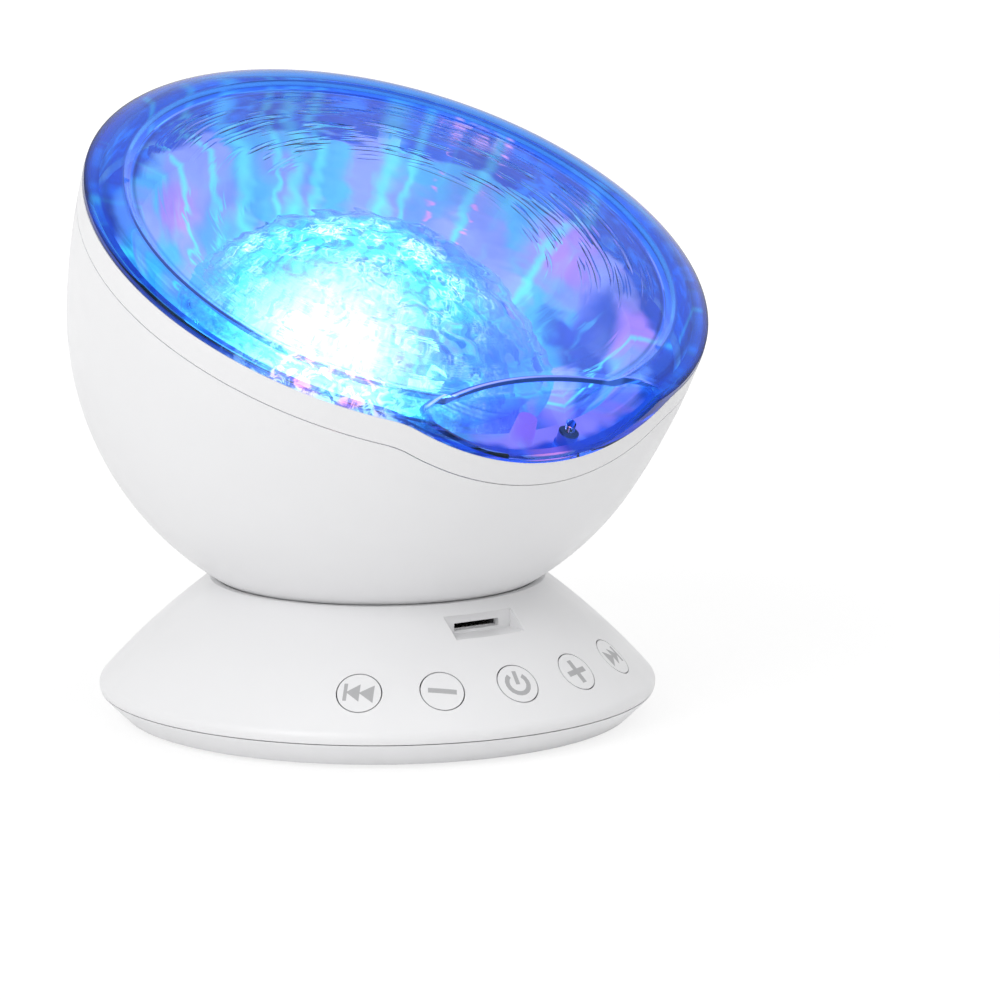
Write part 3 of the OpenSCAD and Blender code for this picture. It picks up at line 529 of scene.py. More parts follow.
def lens_plastic(name, finishes, sizes):
    """Clear blue plastic, deeper in its thick band and lip, with painted shade and reflections in its colour and
    painted sparks of light at the near rim, ridge and step.
    """
    shader = Shader(name)
    bowl = shader.bowl_place()
    dents = lens_dents(shader, bowl)
    colour, strength = lens_painted_light(shader, bowl, sizes)
    shader.set(
        Base_Color=lens_tint(shader, bowl, dents, finishes, sizes),
        Roughness=0.015,
        IOR=1.45,
        Transmission_Weight=1.0,
        Normal=shader.bump(dents, 0.4, -0.0004),
        Specular_Tint=(0.15, 0.45, 1.0, 1.0),
        Emission_Color=colour,
        Emission_Strength=strength,
    )
    return shader.material


def offset_angle(shader, angle, at):
    """Distance in radians from an angle given in degrees."""
    turn = shader.math("WRAP", shader.math("SUBTRACT", angle, math.radians(at)), -math.pi, math.pi)
    return shader.math("ABSOLUTE", turn)


def patch(shader, angle, height, at, level, wide, tall):
    """A soft round patch on the bowl's inside: one at its middle, zero outside."""
    across = shader.math("DIVIDE", offset_angle(shader, angle, at), math.radians(wide))
    up = shader.math("DIVIDE", shader.math("SUBTRACT", height, level), tall)
    distance = shader.math("SQRT", shader.total(shader.product(across, across), shader.product(up, up)))
    return shader.fade(distance, 0.25, 1.0)


def beam(shader, angle, at, wide):
    """A ray of light that runs up the bowl's inside at one angle."""
    return shader.fade(offset_angle(shader, angle, at), 0.0, math.radians(wide))


# Painted rays of light on the bowl's inside: angle from the front and half width, in degrees
RAYS = ((-173, 4.0), (177, 1.8), (171.5, 3.5), (166, 2.2), (149, 4.0), (143, 1.8), (104, 2.6), (-163, 2.0),
        (128, 2.2), (-152, 1.6), (60, 1.6), (-25, 3.0), (-70, 3.6), (-110, 3.0))
DOTTED_RAYS = ((137, 1.4), (126, 1.4), (-40, 1.4))
# Patches of painted light and shade on it: angle, height in millimetres, half width in degrees and half height in
# millimetres
VIOLET_PATCHES = ((-146, 0.0, 15, 8), (98, 3.5, 17, 7), (66, 7.0, 14, 7), (36, 8.0, 14, 6))
DEEP_PATCHES = ((80, -8.0, 22, 8), (58, -5.0, 16, 9), (25, -9.0, 50, 15), (76, 2.0, 16, 8))
BLUSH_PATCH = (134, 16.0, 10, 6)
POST_PATCH = (0, 12.0, 6, 5)
# The painted light's tones before the lens's blue takes most of their red and green
WALL_TONES = {
    "aqua": (0.5, 1.0, 0.96, 1), "sea": (1.1, 1.9, 1.0, 1), "lilac": (2.6, 1.0, 0.98, 1),
    "violet": (4.3, 0.7, 1.0, 1), "deep": (0.25, 0.16, 0.45, 1), "dark rim": (0.03, 0.12, 0.5, 1),
    "lit rim": (0.12, 0.5, 1.0, 1), "blush": (7.0, 1.2, 1.0, 1), "ray": (1.2, 2.6, 1.1, 1),
    "post": (2.6, 0.7, 1.0, 1), "dot": (8.0, 1.1, 1.0, 1),
}


def inner_light(shader):
    """Painted light on the bowl's inside: its tone, with rays, violet patches and a dark rim, and its level."""
    bowl = shader.bowl_place()
    warp = shader.noise(bowl.position, 0.07, 2.0)

    def warped(value, reach):
        return shader.total(value, shader.span(warp, 0.2, 0.8, -reach, reach))

    def streaky(around, along, *settings):
        place = shader.spoke(bowl.position, around, shader.math("MULTIPLY", bowl.height, along))
        return shader.noise(place, 1.0, *settings)

    def patches(row):
        return shader.held(*(patch(shader, sway, lift, *each) for each in row))

    sway, lift = warped(bowl.angle, 0.012), warped(bowl.height, 3.0)
    upper = shader.span(warped(bowl.radius, 2.5), 61.5, 64.5)
    streaks = streaky(11.0, 0.05, 3.0, 0.6)
    waves = streaky(6.0, 0.35, 2.0, 0.6, 0.6)
    rays = shader.held(
        *(beam(shader, sway, *ray) for ray in RAYS), shader.span(streaks, 0.56, 0.76, 0.0, 0.45))
    beads = shader.span(shader.math("SINE", shader.math("MULTIPLY", bowl.height, 2.2)), 0.1, 0.9)
    dots = shader.product(beads, shader.total(*(beam(shader, bowl.angle, *ray) for ray in DOTTED_RAYS)))
    blend = shader.span(shader.noise(bowl.position, 0.05, 2.0), 0.42, 0.6)
    blush = shader.product(
        patch(shader, sway, lift, *BLUSH_PATCH), shader.span(shader.noise(bowl.position, 0.3, 1.0), 0.42, 0.56))
    tone = shader.mix(blend, shader.mix(streaks, WALL_TONES["aqua"], WALL_TONES["sea"]), WALL_TONES["lilac"])
    for share, layer in (
            (patches(VIOLET_PATCHES), WALL_TONES["violet"]),
            (patches(DEEP_PATCHES), WALL_TONES["deep"]),
            (upper, shader.mix(shader.span(waves, 0.45, 0.68), WALL_TONES["dark rim"], WALL_TONES["lit rim"])),
            (blush, WALL_TONES["blush"]),
            (shader.product(rays, shader.span(bowl.radius, 58.0, 66.0, 0.75, 0.35)), WALL_TONES["ray"]),
            (patch(shader, bowl.angle, bowl.height, *POST_PATCH), WALL_TONES["post"]),
            (shader.held(dots), WALL_TONES["dot"])):
        tone = shader.mix(share, tone, layer)
    level = shader.product(
        shader.span(bowl.height, -14.0, 9.0, 1.2, 0.85),
        shader.span(shader.noise(bowl.position, 0.06, 3.0), 0.3, 0.7, 0.75, 1.2))
    return tone, level


def glowing_tray(name, strength):
    """Reflector tray with painted light as if lit from its middle, over a dark blue base colour."""
    shader = Shader(name)
    tone, level = inner_light(shader)
    grain = shader.noise(shader.place, 300, 2.0)
    shader.set(
        Base_Color=shader.mix(grain, (0.08, 0.12, 0.26, 1), (0.12, 0.17, 0.33, 1)),
        Roughness=shader.span(grain, 0.3, 0.7, 0.4, 0.55),
        Specular_IOR_Level=0.15,
        Emission_Color=tone,
        Emission_Strength=shader.product(strength, level),
    )
    return shader.material


# The lamp's place behind the dome in millimetres, from which the dome's painted light fades, and the colours of
# that painted light
LAMP_SPOT = (-25.0, -17.0, 7.0)
DOME_GLOW_WHITE = (12.0, 3.2, 1.0)
DOME_GLOW_CYAN = (0.35, 2.2, 0.92)
DOME_GLOW_SPARK = (14.0, 6.0, 1.4)
DOME_GLOW_DUSK = (0.7, 0.5, 0.9)


def ripple_clear(name, strength):
    """Clear rippled plastic with painted light: white-hot on its lit side and cyan to blue away from it, with
    painted caustic lines and painted shade at its front.
    """
    shader = Shader(name)
    bowl = shader.bowl_place()
    parts = shader.node("SeparateXYZ", {0: bowl.position}).outputs
    away = shader.vector("DISTANCE", bowl.position, LAMP_SPOT)["Value"]
    core, halo = shader.fade(away, 0.0, 30.0), shader.fade(away, 8.0, 50.0)
    ripple = shader.noise(bowl.position, 0.26, 1.0, 0.5, 2.2)
    ridge = shader.math("SUBTRACT", 1.0, shader.math(
        "ABSOLUTE", shader.math("MULTIPLY", shader.math("SUBTRACT", ripple, 0.5), 6.0)))
    clusters = shader.span(shader.noise(bowl.position, 0.16, 2.0, 0.6), 0.44, 0.6)
    # Painted caustic highlights along the ripples' ridges
    caustic_lines = shader.product(shader.span(ridge, 0.5, 0.95), clusters)
    crest = shader.product(
        shader.span(away, 20.0, 31.0), shader.fade(away, 38.0, 48.0),
        shader.span(parts[0], -32.0, -20.0), shader.span(parts[0], -4.0, 18.0, 1.0, 0.4))
    front = shader.product(shader.fade(parts[1], -28.0, -12.0), shader.span(parts[0], -18.0, 2.0))
    # Painted shade over the dome's front and towards its edge
    shadow = shader.product(
        shader.span(front, 0.0, 1.0, 1.0, 0.2), shader.span(bowl.radius, 33.0, 43.0, 1.0, 0.3))
    gaps = shader.span(shader.noise(bowl.position, 0.3, 2.0, 0.6, 1.0), 0.36, 0.6, 0.2, 1.4)
    white = shader.product(core, shader.span(ripple, 0.3, 0.6, 0.5, 1.2))
    cyan = shader.product(shader.total(halo, shader.product(crest, 0.7)), gaps, shadow)
    spark = shader.product(caustic_lines, shadow, shader.total(shader.product(halo, 0.4), crest, 0.1))
    dusk = shader.span(away, 20.0, 52.0, 0.0, 0.4)
    light = shader.scaled(DOME_GLOW_WHITE, white)
    for tone, share in ((DOME_GLOW_CYAN, cyan), (DOME_GLOW_SPARK, spark), (DOME_GLOW_DUSK, dusk)):
        light = shader.vector("ADD", light, shader.scaled(tone, share))[0]
    shader.set(
        Base_Color=shader.mix(ripple, (0.55, 0.72, 1.0, 1), (0.7, 0.85, 1.0, 1)),
        Roughness=0.04,
        IOR=1.22,
        Transmission_Weight=0.92,
        Specular_Tint=(0.4, 0.7, 1.0, 1.0),
        Emission_Color=light,
        Emission_Strength=strength,
    )
    return shader.material


def light_chip(name):
    """Yellow phosphor that glows white."""
    shader = Shader(name)
    grain = shader.noise(shader.place, 1800, 2.0)
    shader.set(
        Base_Color=shader.mix(grain, (0.85, 0.75, 0.35, 1), (0.95, 0.88, 0.5, 1)),
        Roughness=0.3,
        Emission_Color=(0.85, 0.97, 1.0, 1.0),
        Emission_Strength=shader.span(grain, 0.3, 0.7, 5.0, 7.0),
    )
    return shader.material


def printed_ink(name, colour):
    """Pad-printed ink, a little uneven in its layer."""
    shader = Shader(name)
    layer = shader.noise(shader.place, 900, 3.0)
    shader.set(
        Base_Color=shader.mix(layer, opaque(shade(colour, 0.93)), opaque(shade(colour, 1.07))),
        Roughness=shader.span(layer, 0.3, 0.7, 0.42, 0.55),
    )
    return shader.material


def finish_mesh(build, name, material, weld=WELD):
    """Welds a bmesh, turns its faces outwards and links it as a new object."""
    bmesh.ops.remove_doubles(build, verts=build.verts, dist=weld)
    bmesh.ops.dissolve_degenerate(build, edges=build.edges, dist=weld)
    bmesh.ops.recalc_face_normals(build, faces=build.faces)
    mesh = bpy.data.meshes.new(name)
    build.to_mesh(mesh)
    build.free()
    mesh.materials.append(material)
    piece = bpy.data.objects.new(name, mesh)
    bpy.context.scene.collection.objects.link(piece)
    return piece


def shade_smooth(piece, angle):
    """Smooth shading with edges sharper than the angle kept."""
    piece.data.shade_smooth()
    build = bmesh.new()
    build.from_mesh(piece.data)
    for edge in build.edges:
        edge.smooth = edge.calc_face_angle(math.pi) < angle
    build.to_mesh(piece.data)
    build.free()


def bake_modifiers(piece):
    """Turns a piece and its modifiers into one plain mesh."""
    graph = bpy.context.evaluated_depsgraph_get()
    mesh = bpy.data.meshes.new_from_object(piece.evaluated_get(graph))
    piece.modifiers.clear()
    old = piece.data
    piece.data = mesh
    mesh.name = piece.name
    bpy.data.meshes.remove(old)
    return piece


def set_inputs(modifier, values):
    """Sets a Geometry Nodes modifier's inputs by their socket identifiers."""
    for item in modifier.node_group.interface.items_tree:
        if item.item_type == "SOCKET" and item.in_out == "INPUT" and item.name in values:
            modifier[item.identifier] = values[item.name]


class NodeTree:
    """A Geometry Nodes tree with named inputs, built with short calls."""

    def __init__(self, name, inputs):
        self.tree = bpy.data.node_groups.new(name, "GeometryNodeTree")
        self.tree.interface.new_socket("Geometry", in_out="INPUT", socket_type="NodeSocketGeometry")
        for label, kind in inputs.items():
            self.tree.interface.new_socket(label, in_out="INPUT", socket_type="NodeSocket" + kind)
        self.tree.interface.new_socket("Geometry", in_out="OUTPUT", socket_type="NodeSocketGeometry")
        self.inputs = self.tree.nodes.new("NodeGroupInput").outputs
        self.result = self.tree.nodes.new("NodeGroupOutput").inputs["Geometry"]

    def node(self, kind, inputs, **settings):
        """A node with its settings and its inputs, by name or by number."""
        made = self.tree.nodes.new(kind)
        for key, value in settings.items():
            setattr(made, key, value)
        for key, value in inputs.items():
            if isinstance(value, bpy.types.NodeSocket):
                self.tree.links.new(value, made.inputs[key])
            else:
                made.inputs[key].default_value = value
        return made.outputs

    def vector(self, operation, *values):
        """The outputs of one Vector Math node."""
        return self.node("ShaderNodeVectorMath", dict(enumerate(values)), operation=operation)

    def math(self, operation, *values):
        """The result of one Math node."""
        return self.node("ShaderNodeMath", dict(enumerate(values)), operation=operation)[0]

    def scaled(self, vector, factor):
        """A vector times a value."""
        return self.node("ShaderNodeVectorMath", {0: vector, "Scale": factor}, operation="SCALE")[0]

    def close(self, geometry, material):
        """Ends the tree in real geometry with its material."""
        real = self.node("GeometryNodeRealizeInstances", {0: geometry})[0]
        done = self.node("GeometryNodeSetMaterial", {"Geometry": real, "Material": material})[0]
        self.tree.links.new(done, self.result)
        return self.tree


def ripple_tree():
    """Ripples pressed into a face: long ones that follow the rim, and round ones near the middle."""
    tree = NodeTree("Moulded ripples", {
        "Depth": "Float", "Pitch": "Float", "Round inside": "Float", "Waves around": "Float",
        "Centre": "Vector", "Axis": "Vector", "Seed": "Float", "Material": "Material"})
    place = tree.node("GeometryNodeInputPosition", {})[0]
    normal = tree.node("GeometryNodeInputNormal", {})[0]
    share = tree.node("GeometryNodeInputNamedAttribute", {"Name": "ripple"}, data_type="FLOAT")[0]
    arm = tree.vector("SUBTRACT", place, tree.inputs["Centre"])[0]
    along = tree.vector("DOT_PRODUCT", arm, tree.inputs["Axis"])["Value"]
    flat = tree.vector("SUBTRACT", arm, tree.scaled(tree.inputs["Axis"], along))[0]
    radius = tree.vector("LENGTH", flat)["Value"]
    turns = tree.math("DIVIDE", radius, tree.inputs["Pitch"])
    around = tree.scaled(tree.vector("NORMALIZE", flat)[0], tree.inputs["Waves around"])
    rings = tree.vector("ADD", around, tree.scaled(tree.inputs["Axis"], turns))[0]
    spots = tree.scaled(arm, tree.math("DIVIDE", 1.0, tree.inputs["Pitch"]))

    def wave(where):
        inputs = {"Vector": where, "W": tree.inputs["Seed"], "Scale": 1.0, "Detail": 0.6, "Roughness": 0.4}
        return tree.node("ShaderNodeTexNoise", inputs, noise_dimensions="4D")[0]

    outside = tree.node("ShaderNodeMapRange", {
        "Value": radius, "From Min": tree.math("MULTIPLY", tree.inputs["Round inside"], 0.4),
        "From Max": tree.inputs["Round inside"]}, interpolation_type="SMOOTHSTEP")[0]
    mixed = tree.node("ShaderNodeMix", {0: outside, 2: wave(spots), 3: wave(rings)}, data_type="FLOAT")[0]
    swing = tree.math("MULTIPLY", tree.math("SUBTRACT", mixed, 0.75), 2.0)
    press = tree.math("MINIMUM", tree.math("MULTIPLY", swing, tree.inputs["Depth"]), 0.0)
    offset = tree.scaled(normal, tree.math("MULTIPLY", press, share))
    moved = tree.node("GeometryNodeSetPosition", {"Geometry": tree.inputs["Geometry"], "Offset": offset})[0]
    return tree.close(moved, tree.inputs["Material"])


def mould_ripples(piece, values):
    """Runs the ripple tree on a piece and keeps the result as its mesh."""
    tree = bpy.data.node_groups.get("Moulded ripples") or ripple_tree()
    modifier = piece.modifiers.new("Moulded ripples", "NODES")
    modifier.node_group = tree
    shared = {"Centre": BOWL, "Axis": BOWL_AXIS, "Material": piece.data.materials[0]}
    set_inputs(modifier, {**shared, **values})
    piece.update_tag()
    bpy.context.view_layer.update()
    return bake_modifiers(piece)


def drill(piece, radius):
    """Cuts the receiver's hole through a piece, along the bowl's axis."""
    places = to_bowl(node_points("receiver"))
    high = places[places[:, 2] > places[:, 2].max() - radius]
    middle = (high.min(0) + high.max(0)) / 2
    build = bmesh.new()
    bmesh.ops.create_cone(build, cap_ends=True, segments=HOLE_POINTS, radius1=radius, radius2=radius,
                          depth=20 * radius, matrix=Matrix.Translation(from_bowl(middle)) @ BOWL_TURN.to_4x4())
    tool = finish_mesh(build, "drill", piece.data.materials[0])
    modifier = piece.modifiers.new("Receiver hole", "BOOLEAN")
    modifier.operation = "DIFFERENCE"
    modifier.solver = "EXACT"
    modifier.object = tool
    bpy.context.view_layer.update()
    bake_modifiers(piece)
    bpy.data.objects.remove(tool)
    return piece


def ring_strip(build, rings):
    """Faces between neighbouring closed rings of points."""
    rows = [[build.verts.new(point) for point in ring] for ring in rings]
    for low, high in zip(rows, rows[1:]):
        for i in range(len(low)):
            k = (i + 1) % len(low)
            build.faces.new((low[i], low[k], high[k], high[i]))


class LensForm:
    """Outer and inner height of the lens over each point of the bowl's plane."""

    def __init__(self, sizes):
        self.s = sizes
        rise = sizes.top_height - sizes.step_height
        self.ball = (sizes.step_radius ** 2 + rise ** 2) / (2 * rise)
        self.scoop_at = sizes.edge_radius - sizes.lip_width + sizes.scoop_radius

    def top(self, radius):
        """Height of the plain lens at a radius."""
        s = self.s
        middle = s.top_height - self.ball + np.sqrt(self.ball ** 2 - np.minimum(radius, s.step_radius) ** 2)
        step = np.interp(radius, (s.step_radius, s.ridge_radius), (s.step_height, s.crest_height))
        over = np.maximum(radius - s.crest_radius, 0)
        band = s.crest_height - over ** 2 / (2 * s.edge_curve)
        return np.where(radius <= s.step_radius, middle, np.where(radius <= s.crest_radius, step, band))

    def lip(self, x, y):
        """Height of the front lip."""
        s = self.s
        out = s.edge_radius + y
        curve = s.dip_radius - np.sqrt(s.dip_radius ** 2 - np.minimum(np.abs(x), s.dip_radius) ** 2)
        return s.lip_height + out * math.tan(s.lip_slope) + curve / math.cos(s.lip_slope)

    def scoop_entry(self, angle, grow):
        """Radius at which a ray from the centre enters the scoop, or the lens's edge."""
        reach = self.s.scoop_radius + grow
        side = self.scoop_at * np.sin(angle)
        inside = np.abs(angle) < math.asin(reach / self.scoop_at)
        entry = self.scoop_at * np.cos(angle) - np.sqrt(np.maximum(reach ** 2 - side ** 2, 0))
        return np.where(inside, entry, np.inf)

    def seat(self, x, y):
        """Height of the rim's wave on which the lens stands."""
        s = self.s
        mouth = math.sqrt(s.dip_depth * (2 * (s.dip_radius + s.shoulder_radius) - s.dip_depth))
        width = np.abs(x)
        drop = np.sqrt(np.maximum(s.dip_radius ** 2 - width ** 2, 0))
        dip = s.seat_height - s.dip_depth + s.dip_radius - drop
        ease = s.seat_height - s.shoulder_radius + np.sqrt(
            np.maximum(s.shoulder_radius ** 2 - np.minimum(mouth - width, s.shoulder_radius) ** 2, 0))
        turn = mouth * s.dip_radius / (s.dip_radius + s.shoulder_radius)
        wave = np.where(width < turn, dip, np.where(width < mouth, ease, s.seat_height))
        return np.where(y < 0, np.minimum(wave, s.seat_height), s.seat_height)


# Rings of points on the lens's middle, step, ridge and band, then on its lip, its scoop wall and its skirt
OUTER_RINGS, INNER_RINGS = (84, 6, 3, 14), (30, 4, 2, 8)
OUTER_LIP_RINGS, INNER_LIP_RINGS = 26, 10
SCOOP_RINGS = 4
SKIRT_RINGS = 3
# Where the ripples end before the step and the scoop, and the width over which they ease in
STEP_MARGIN = 2.0 * MM
SCOOP_MARGIN = 1.0 * MM
RIPPLE_EASE = 3.5 * MM


def lens_rings(form, angles, inner):
    """Closed rings of points over the lens, from its centre to its edge, with their ripple share."""
    s = form.s
    drop = s.wall if inner else 0.0
    edge = s.edge_radius - drop
    entry = np.minimum(form.scoop_entry(angles, drop), edge)
    stops = (0.0, s.step_radius, s.ridge_radius, s.crest_radius, edge)
    counts = INNER_RINGS if inner else OUTER_RINGS
    lip_count = INNER_LIP_RINGS if inner else OUTER_LIP_RINGS
    rings, shares = [], []

    def add(radius, height, share):
        rings.append(np.stack([radius * np.sin(angles), -radius * np.cos(angles), height], 1))
        shares.append(share)

    flat = np.zeros_like(angles)
    for low, high, count in zip(stops, stops[1:], counts):
        start, end = np.minimum(low, entry), np.minimum(high, entry)
        for i in range(count + 1):
            radius = start + (end - start) * i / count
            inside = np.clip((s.step_radius - STEP_MARGIN - radius) / RIPPLE_EASE, 0, 1)
            clear = np.clip((entry - SCOOP_MARGIN - radius) / RIPPLE_EASE, 0, 1)
            share = flat if inner else inside * clear
            add(radius, form.top(radius) - drop, share)
    top = form.top(entry) - drop
    lip = form.lip(entry * np.sin(angles), -entry * np.cos(angles)) - drop
    for i in range(SCOOP_RINGS + 1):
        add(entry, top + (np.minimum(top, lip) - top) * i / SCOOP_RINGS, flat)
    for i in range(lip_count + 1):
        radius = entry + (edge - entry) * i / lip_count
        lip = form.lip(radius * np.sin(angles), -radius * np.cos(angles)) - drop
        add(radius, np.minimum(form.top(radius) - drop, lip), flat)
    foot = form.seat(edge * np.sin(angles), -edge * np.cos(angles))
    last = rings[-1][:, 2]
    for i in range(1, SKIRT_RINGS + 1):
        add(flat + edge, last + (np.minimum(foot, last) - last) * i / SKIRT_RINGS, flat)
    return rings, shares


class PROJECTOR_OT_shells(bpy.types.Operator):
    """Satin white plastic on the shells, the pan and the buttons, and rubber on the feet"""

    bl_idname = "projector.shells"
    bl_label = "Shells and buttons"

    def execute(self, context):
        colour = context.scene.projector_finishes.plastic
        finishes = {
            "white_plastic": moulded_plastic("White plastic", colour, 0.38),
            # The pan's white is painted lighter than the shells', as painted light that lifts the shade on its
            # downward-facing taper
            "pan_plastic": moulded_plastic("Pan plastic with painted light", shade(colour, 1.05), 0.45, 0.4),
            "button_plastic": moulded_plastic("Button plastic", colour, 0.34, 0.15),
            "foot_rubber": rubber("Foot rubber", (0.05, 0.05, 0.055)),
        }
        paint(finishes)
        lit = rim_plastic("Rim plastic", colour, context.scene.projector_glow.wall_strength)
        for node in ("rim_band", "bowl_shell"):
            coat(node, lit)
        return {"FINISHED"}


def coat(node, material):
    """Gives one CAD node its finish."""
    for holder in frame["nodes"][node].material_slots:
        holder.material = material


def paint(finishes):
    """Gives each CAD node of the named material slots its finish."""
    for part in frame["record"]["subparts"]:
        if part["material_slot"] in finishes:
            coat(part["node"], finishes[part["material_slot"]])


class PROJECTOR_OT_lens(bpy.types.Operator):
    """The clear blue lens with its ridge, rippled middle and front lip"""

    bl_idname = "projector.lens"
    bl_label = "Wave lens"

    def execute(self, context):
        sizes = context.scene.projector_lens
        form = LensForm(sizes)
        angles = np.linspace(-math.pi, math.pi, LENS_POINTS, endpoint=False)
        outer, outer_share = lens_rings(form, angles, inner=False)
        inner, inner_share = lens_rings(form, angles, inner=True)
        rings = outer + inner[::-1]
        shares = np.concatenate(outer_share + inner_share[::-1])
        build = bmesh.new()
        layer = build.verts.layers.float.new("ripple")
        ring_strip(build, [from_bowl(ring) for ring in rings])
        for vertex, share in zip(build.verts, shares):
            vertex[layer] = share
        plastic = lens_plastic("Lens plastic", context.scene.projector_finishes, sizes)
        lens = finish_mesh(build, "wave_lens", plastic)
        mould_ripples(lens, {"Depth": sizes.ripple_depth, "Pitch": sizes.ripple_pitch, "Waves around": 5.0,
                             "Round inside": sizes.round_inside, "Seed": 3.0})
        drill(lens, sizes.hole_radius)
        shade_smooth(lens, SHARP_LENS)
        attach(lens, "projector")
        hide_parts("lens_cover")
        return {"FINISHED"}


class PROJECTOR_OT_glow(bpy.types.Operator):
    """The inside with its painted light: reflector tray, light board, chips and the turning ripple dome"""

    bl_idname = "projector.glow"
    bl_label = "Light inside"

    def execute(self, context):
        glow = context.scene.projector_glow
        paint({
            "tray_plastic": glowing_tray("Tray with painted light", glow.wall_strength),
            "light_board": moulded_plastic("Light board mask", (0.3, 0.42, 0.62), 0.4),
            "light_chip": light_chip("Light chip"),
        })
        angles = np.linspace(-math.pi, math.pi, DOME_POINTS, endpoint=False)
        build = bmesh.new()
        layer = build.verts.layers.float.new("ripple")
        profile = dome_profile(to_bowl(node_points("ripple_dome")))
        ring_strip(build, [from_bowl(turned(radius, height, angles)) for radius, height, share in profile])
        for i, vertex in enumerate(build.verts):
            vertex[layer] = profile[i // len(angles)][2]
        dome = finish_mesh(build, "rippled_dome", ripple_clear("Ripple dome plastic", glow.dome_strength))
        mould_ripples(dome, {"Depth": glow.dome_depth, "Pitch": glow.dome_pitch, "Waves around": 4.0,
                             "Round inside": 1.0, "Seed": 8.0})
        shade_smooth(dome, SHARP_SMALL)
        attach(dome, "ripple_rotor")
        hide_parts("ripple_dome")
        return {"FINISHED"}


def turned(radius, height, angles):
    """A ring of points about the bowl's axis."""
    return np.stack([radius * np.sin(angles), -radius * np.cos(angles), np.full_like(angles, height)], 1)


def dome_profile(places):
    """Radius, height and ripple share round the dome's section, from its top to the top of its inside."""
    radii, heights = np.hypot(places[:, 0], places[:, 1]), places[:, 2]
    rim, top, foot = radii.max(), heights.max(), heights.min()
    base = heights[radii > rim - 0.02 * MM].mean()
    wall = top - heights[radii < rim / 8].min()
    foot_radii = radii[heights < foot + 0.02 * MM]
    rise = top - base
    ball = (rim ** 2 + rise ** 2) / (2 * rise)
    inside = ball - wall
    skirt = base + wall
    edge = math.sqrt(inside ** 2 - (skirt - top + ball) ** 2)
    outer_span, inner_span = math.asin(rim / ball), math.asin(edge / inside)
    steps, inner_steps, fade = 60, 30, 6
    section = [(ball * math.sin(outer_span * i / steps), top - ball + ball * math.cos(outer_span * i / steps),
                min(1.0, (steps - i) / fade)) for i in range(steps + 1)]
    section += [(foot_radii.max(), base, 0.0), (foot_radii.max(), foot, 0.0), (foot_radii.min(), foot, 0.0),
                (foot_radii.min(), skirt, 0.0)]
    section += [(inside * math.sin(inner_span * i / inner_steps),
                 top - ball + inside * math.cos(inner_span * i / inner_steps), 0.0)
                for i in range(inner_steps, -1, -1)]
    return section


class PROJECTOR_OT_works(bpy.types.Operator):
    """Metal, boards, gears and the loudspeaker inside"""

    bl_idname = "projector.works"
    bl_label = "Inner works"

    def execute(self, context):
        paint({
            "steel": brushed_metal("Zinc plated steel", (0.6, 0.6, 0.62), 0.3),
            "socket_metal": brushed_metal("Stamped steel", (0.66, 0.66, 0.67), 0.35),
            "circuit_board": circuit_board("Circuit board", (0.02, 0.12, 0.05)),
            "snap_brass": brushed_metal("Stamped brass", (0.78, 0.6, 0.28), 0.28),
            "speaker_metal": brushed_metal("Painted basket", (0.06, 0.06, 0.065), 0.45),
            "speaker_paper": paper_cone("Paper cone", (0.05, 0.05, 0.055)),
            "magnet": rubber("Ferrite", (0.09, 0.09, 0.1)),
            "dark_window": dark_window("Receiver window", context.scene.projector_glow.wall_strength),
            "gear_plastic": moulded_plastic("Gear plastic", (0.75, 0.75, 0.72), 0.45),
            "motor_metal": brushed_metal("Motor can", (0.5, 0.5, 0.52), 0.32),
        })
        # The tray's screws take the tray's material with its painted light, so that they blend in with it
        coat("tray_screws", frame["nodes"]["light_tray"].material_slots[0].material)
        return {"FINISHED"}


def contact_tree():
    """A row of equal pieces along the X axis."""
    tree = NodeTree("Contact row", {
        "Count": "Int", "Pitch": "Float", "Start": "Vector", "Material": "Material"})
    step = tree.node("ShaderNodeCombineXYZ", {0: tree.inputs["Pitch"]})[0]
    line = tree.node("GeometryNodeMeshLine", {
        "Count": tree.inputs["Count"], "Start Location": tree.inputs["Start"], "Offset": step})[0]
    row = tree.node("GeometryNodeInstanceOnPoints", {"Points": line, "Instance": tree.inputs["Geometry"]})[0]
    return tree.close(row, tree.inputs["Material"])


# Steps along a contact spring, and the share of its length that the hump takes
SPRING_STEPS = 16
HUMP_SHARE = 0.625


class PROJECTOR_OT_contacts(bpy.types.Operator):
    """The bent contact springs in the mouth of the card socket"""

    bl_idname = "projector.contacts"
    bl_label = "Card contacts"

    def execute(self, context):
        sizes = context.scene.projector_contacts
        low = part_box("card_socket")[0]
        build = bmesh.new()
        rows = []
        for i in range(SPRING_STEPS + 1):
            share = i / SPRING_STEPS
            hump = sizes.rise * math.sin(math.pi * min(1.0, share / HUMP_SHARE)) ** 2
            rows.append([build.verts.new((side * sizes.width / 2, sizes.reach * share, hump + lift))
                         for side, lift in ((-1, 0.0), (1, 0.0), (1, sizes.sheet), (-1, sizes.sheet))])
        for near, far in zip(rows, rows[1:]):
            for k in range(4):
                build.faces.new((near[k], near[(k + 1) % 4], far[(k + 1) % 4], far[k]))
        build.faces.new(rows[0])
        build.faces.new(rows[-1])
        springs = finish_mesh(build, "contact_springs", brushed_metal("Contact strip", (0.12, 0.11, 0.1), 0.35))
        modifier = springs.modifiers.new("Contact row", "NODES")
        modifier.node_group = contact_tree()
        start = Vector((-sizes.pitch * (sizes.count - 1) / 2, low.y, low.z + sizes.floor))
        set_inputs(modifier, {"Count": sizes.count, "Pitch": sizes.pitch, "Start": start,
                              "Material": springs.data.materials[0]})
        springs.update_tag()
        context.view_layer.update()
        bake_modifiers(springs)
        shade_smooth(springs, SHARP_SMALL)
        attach(springs, "projector")
        return {"FINISHED"}


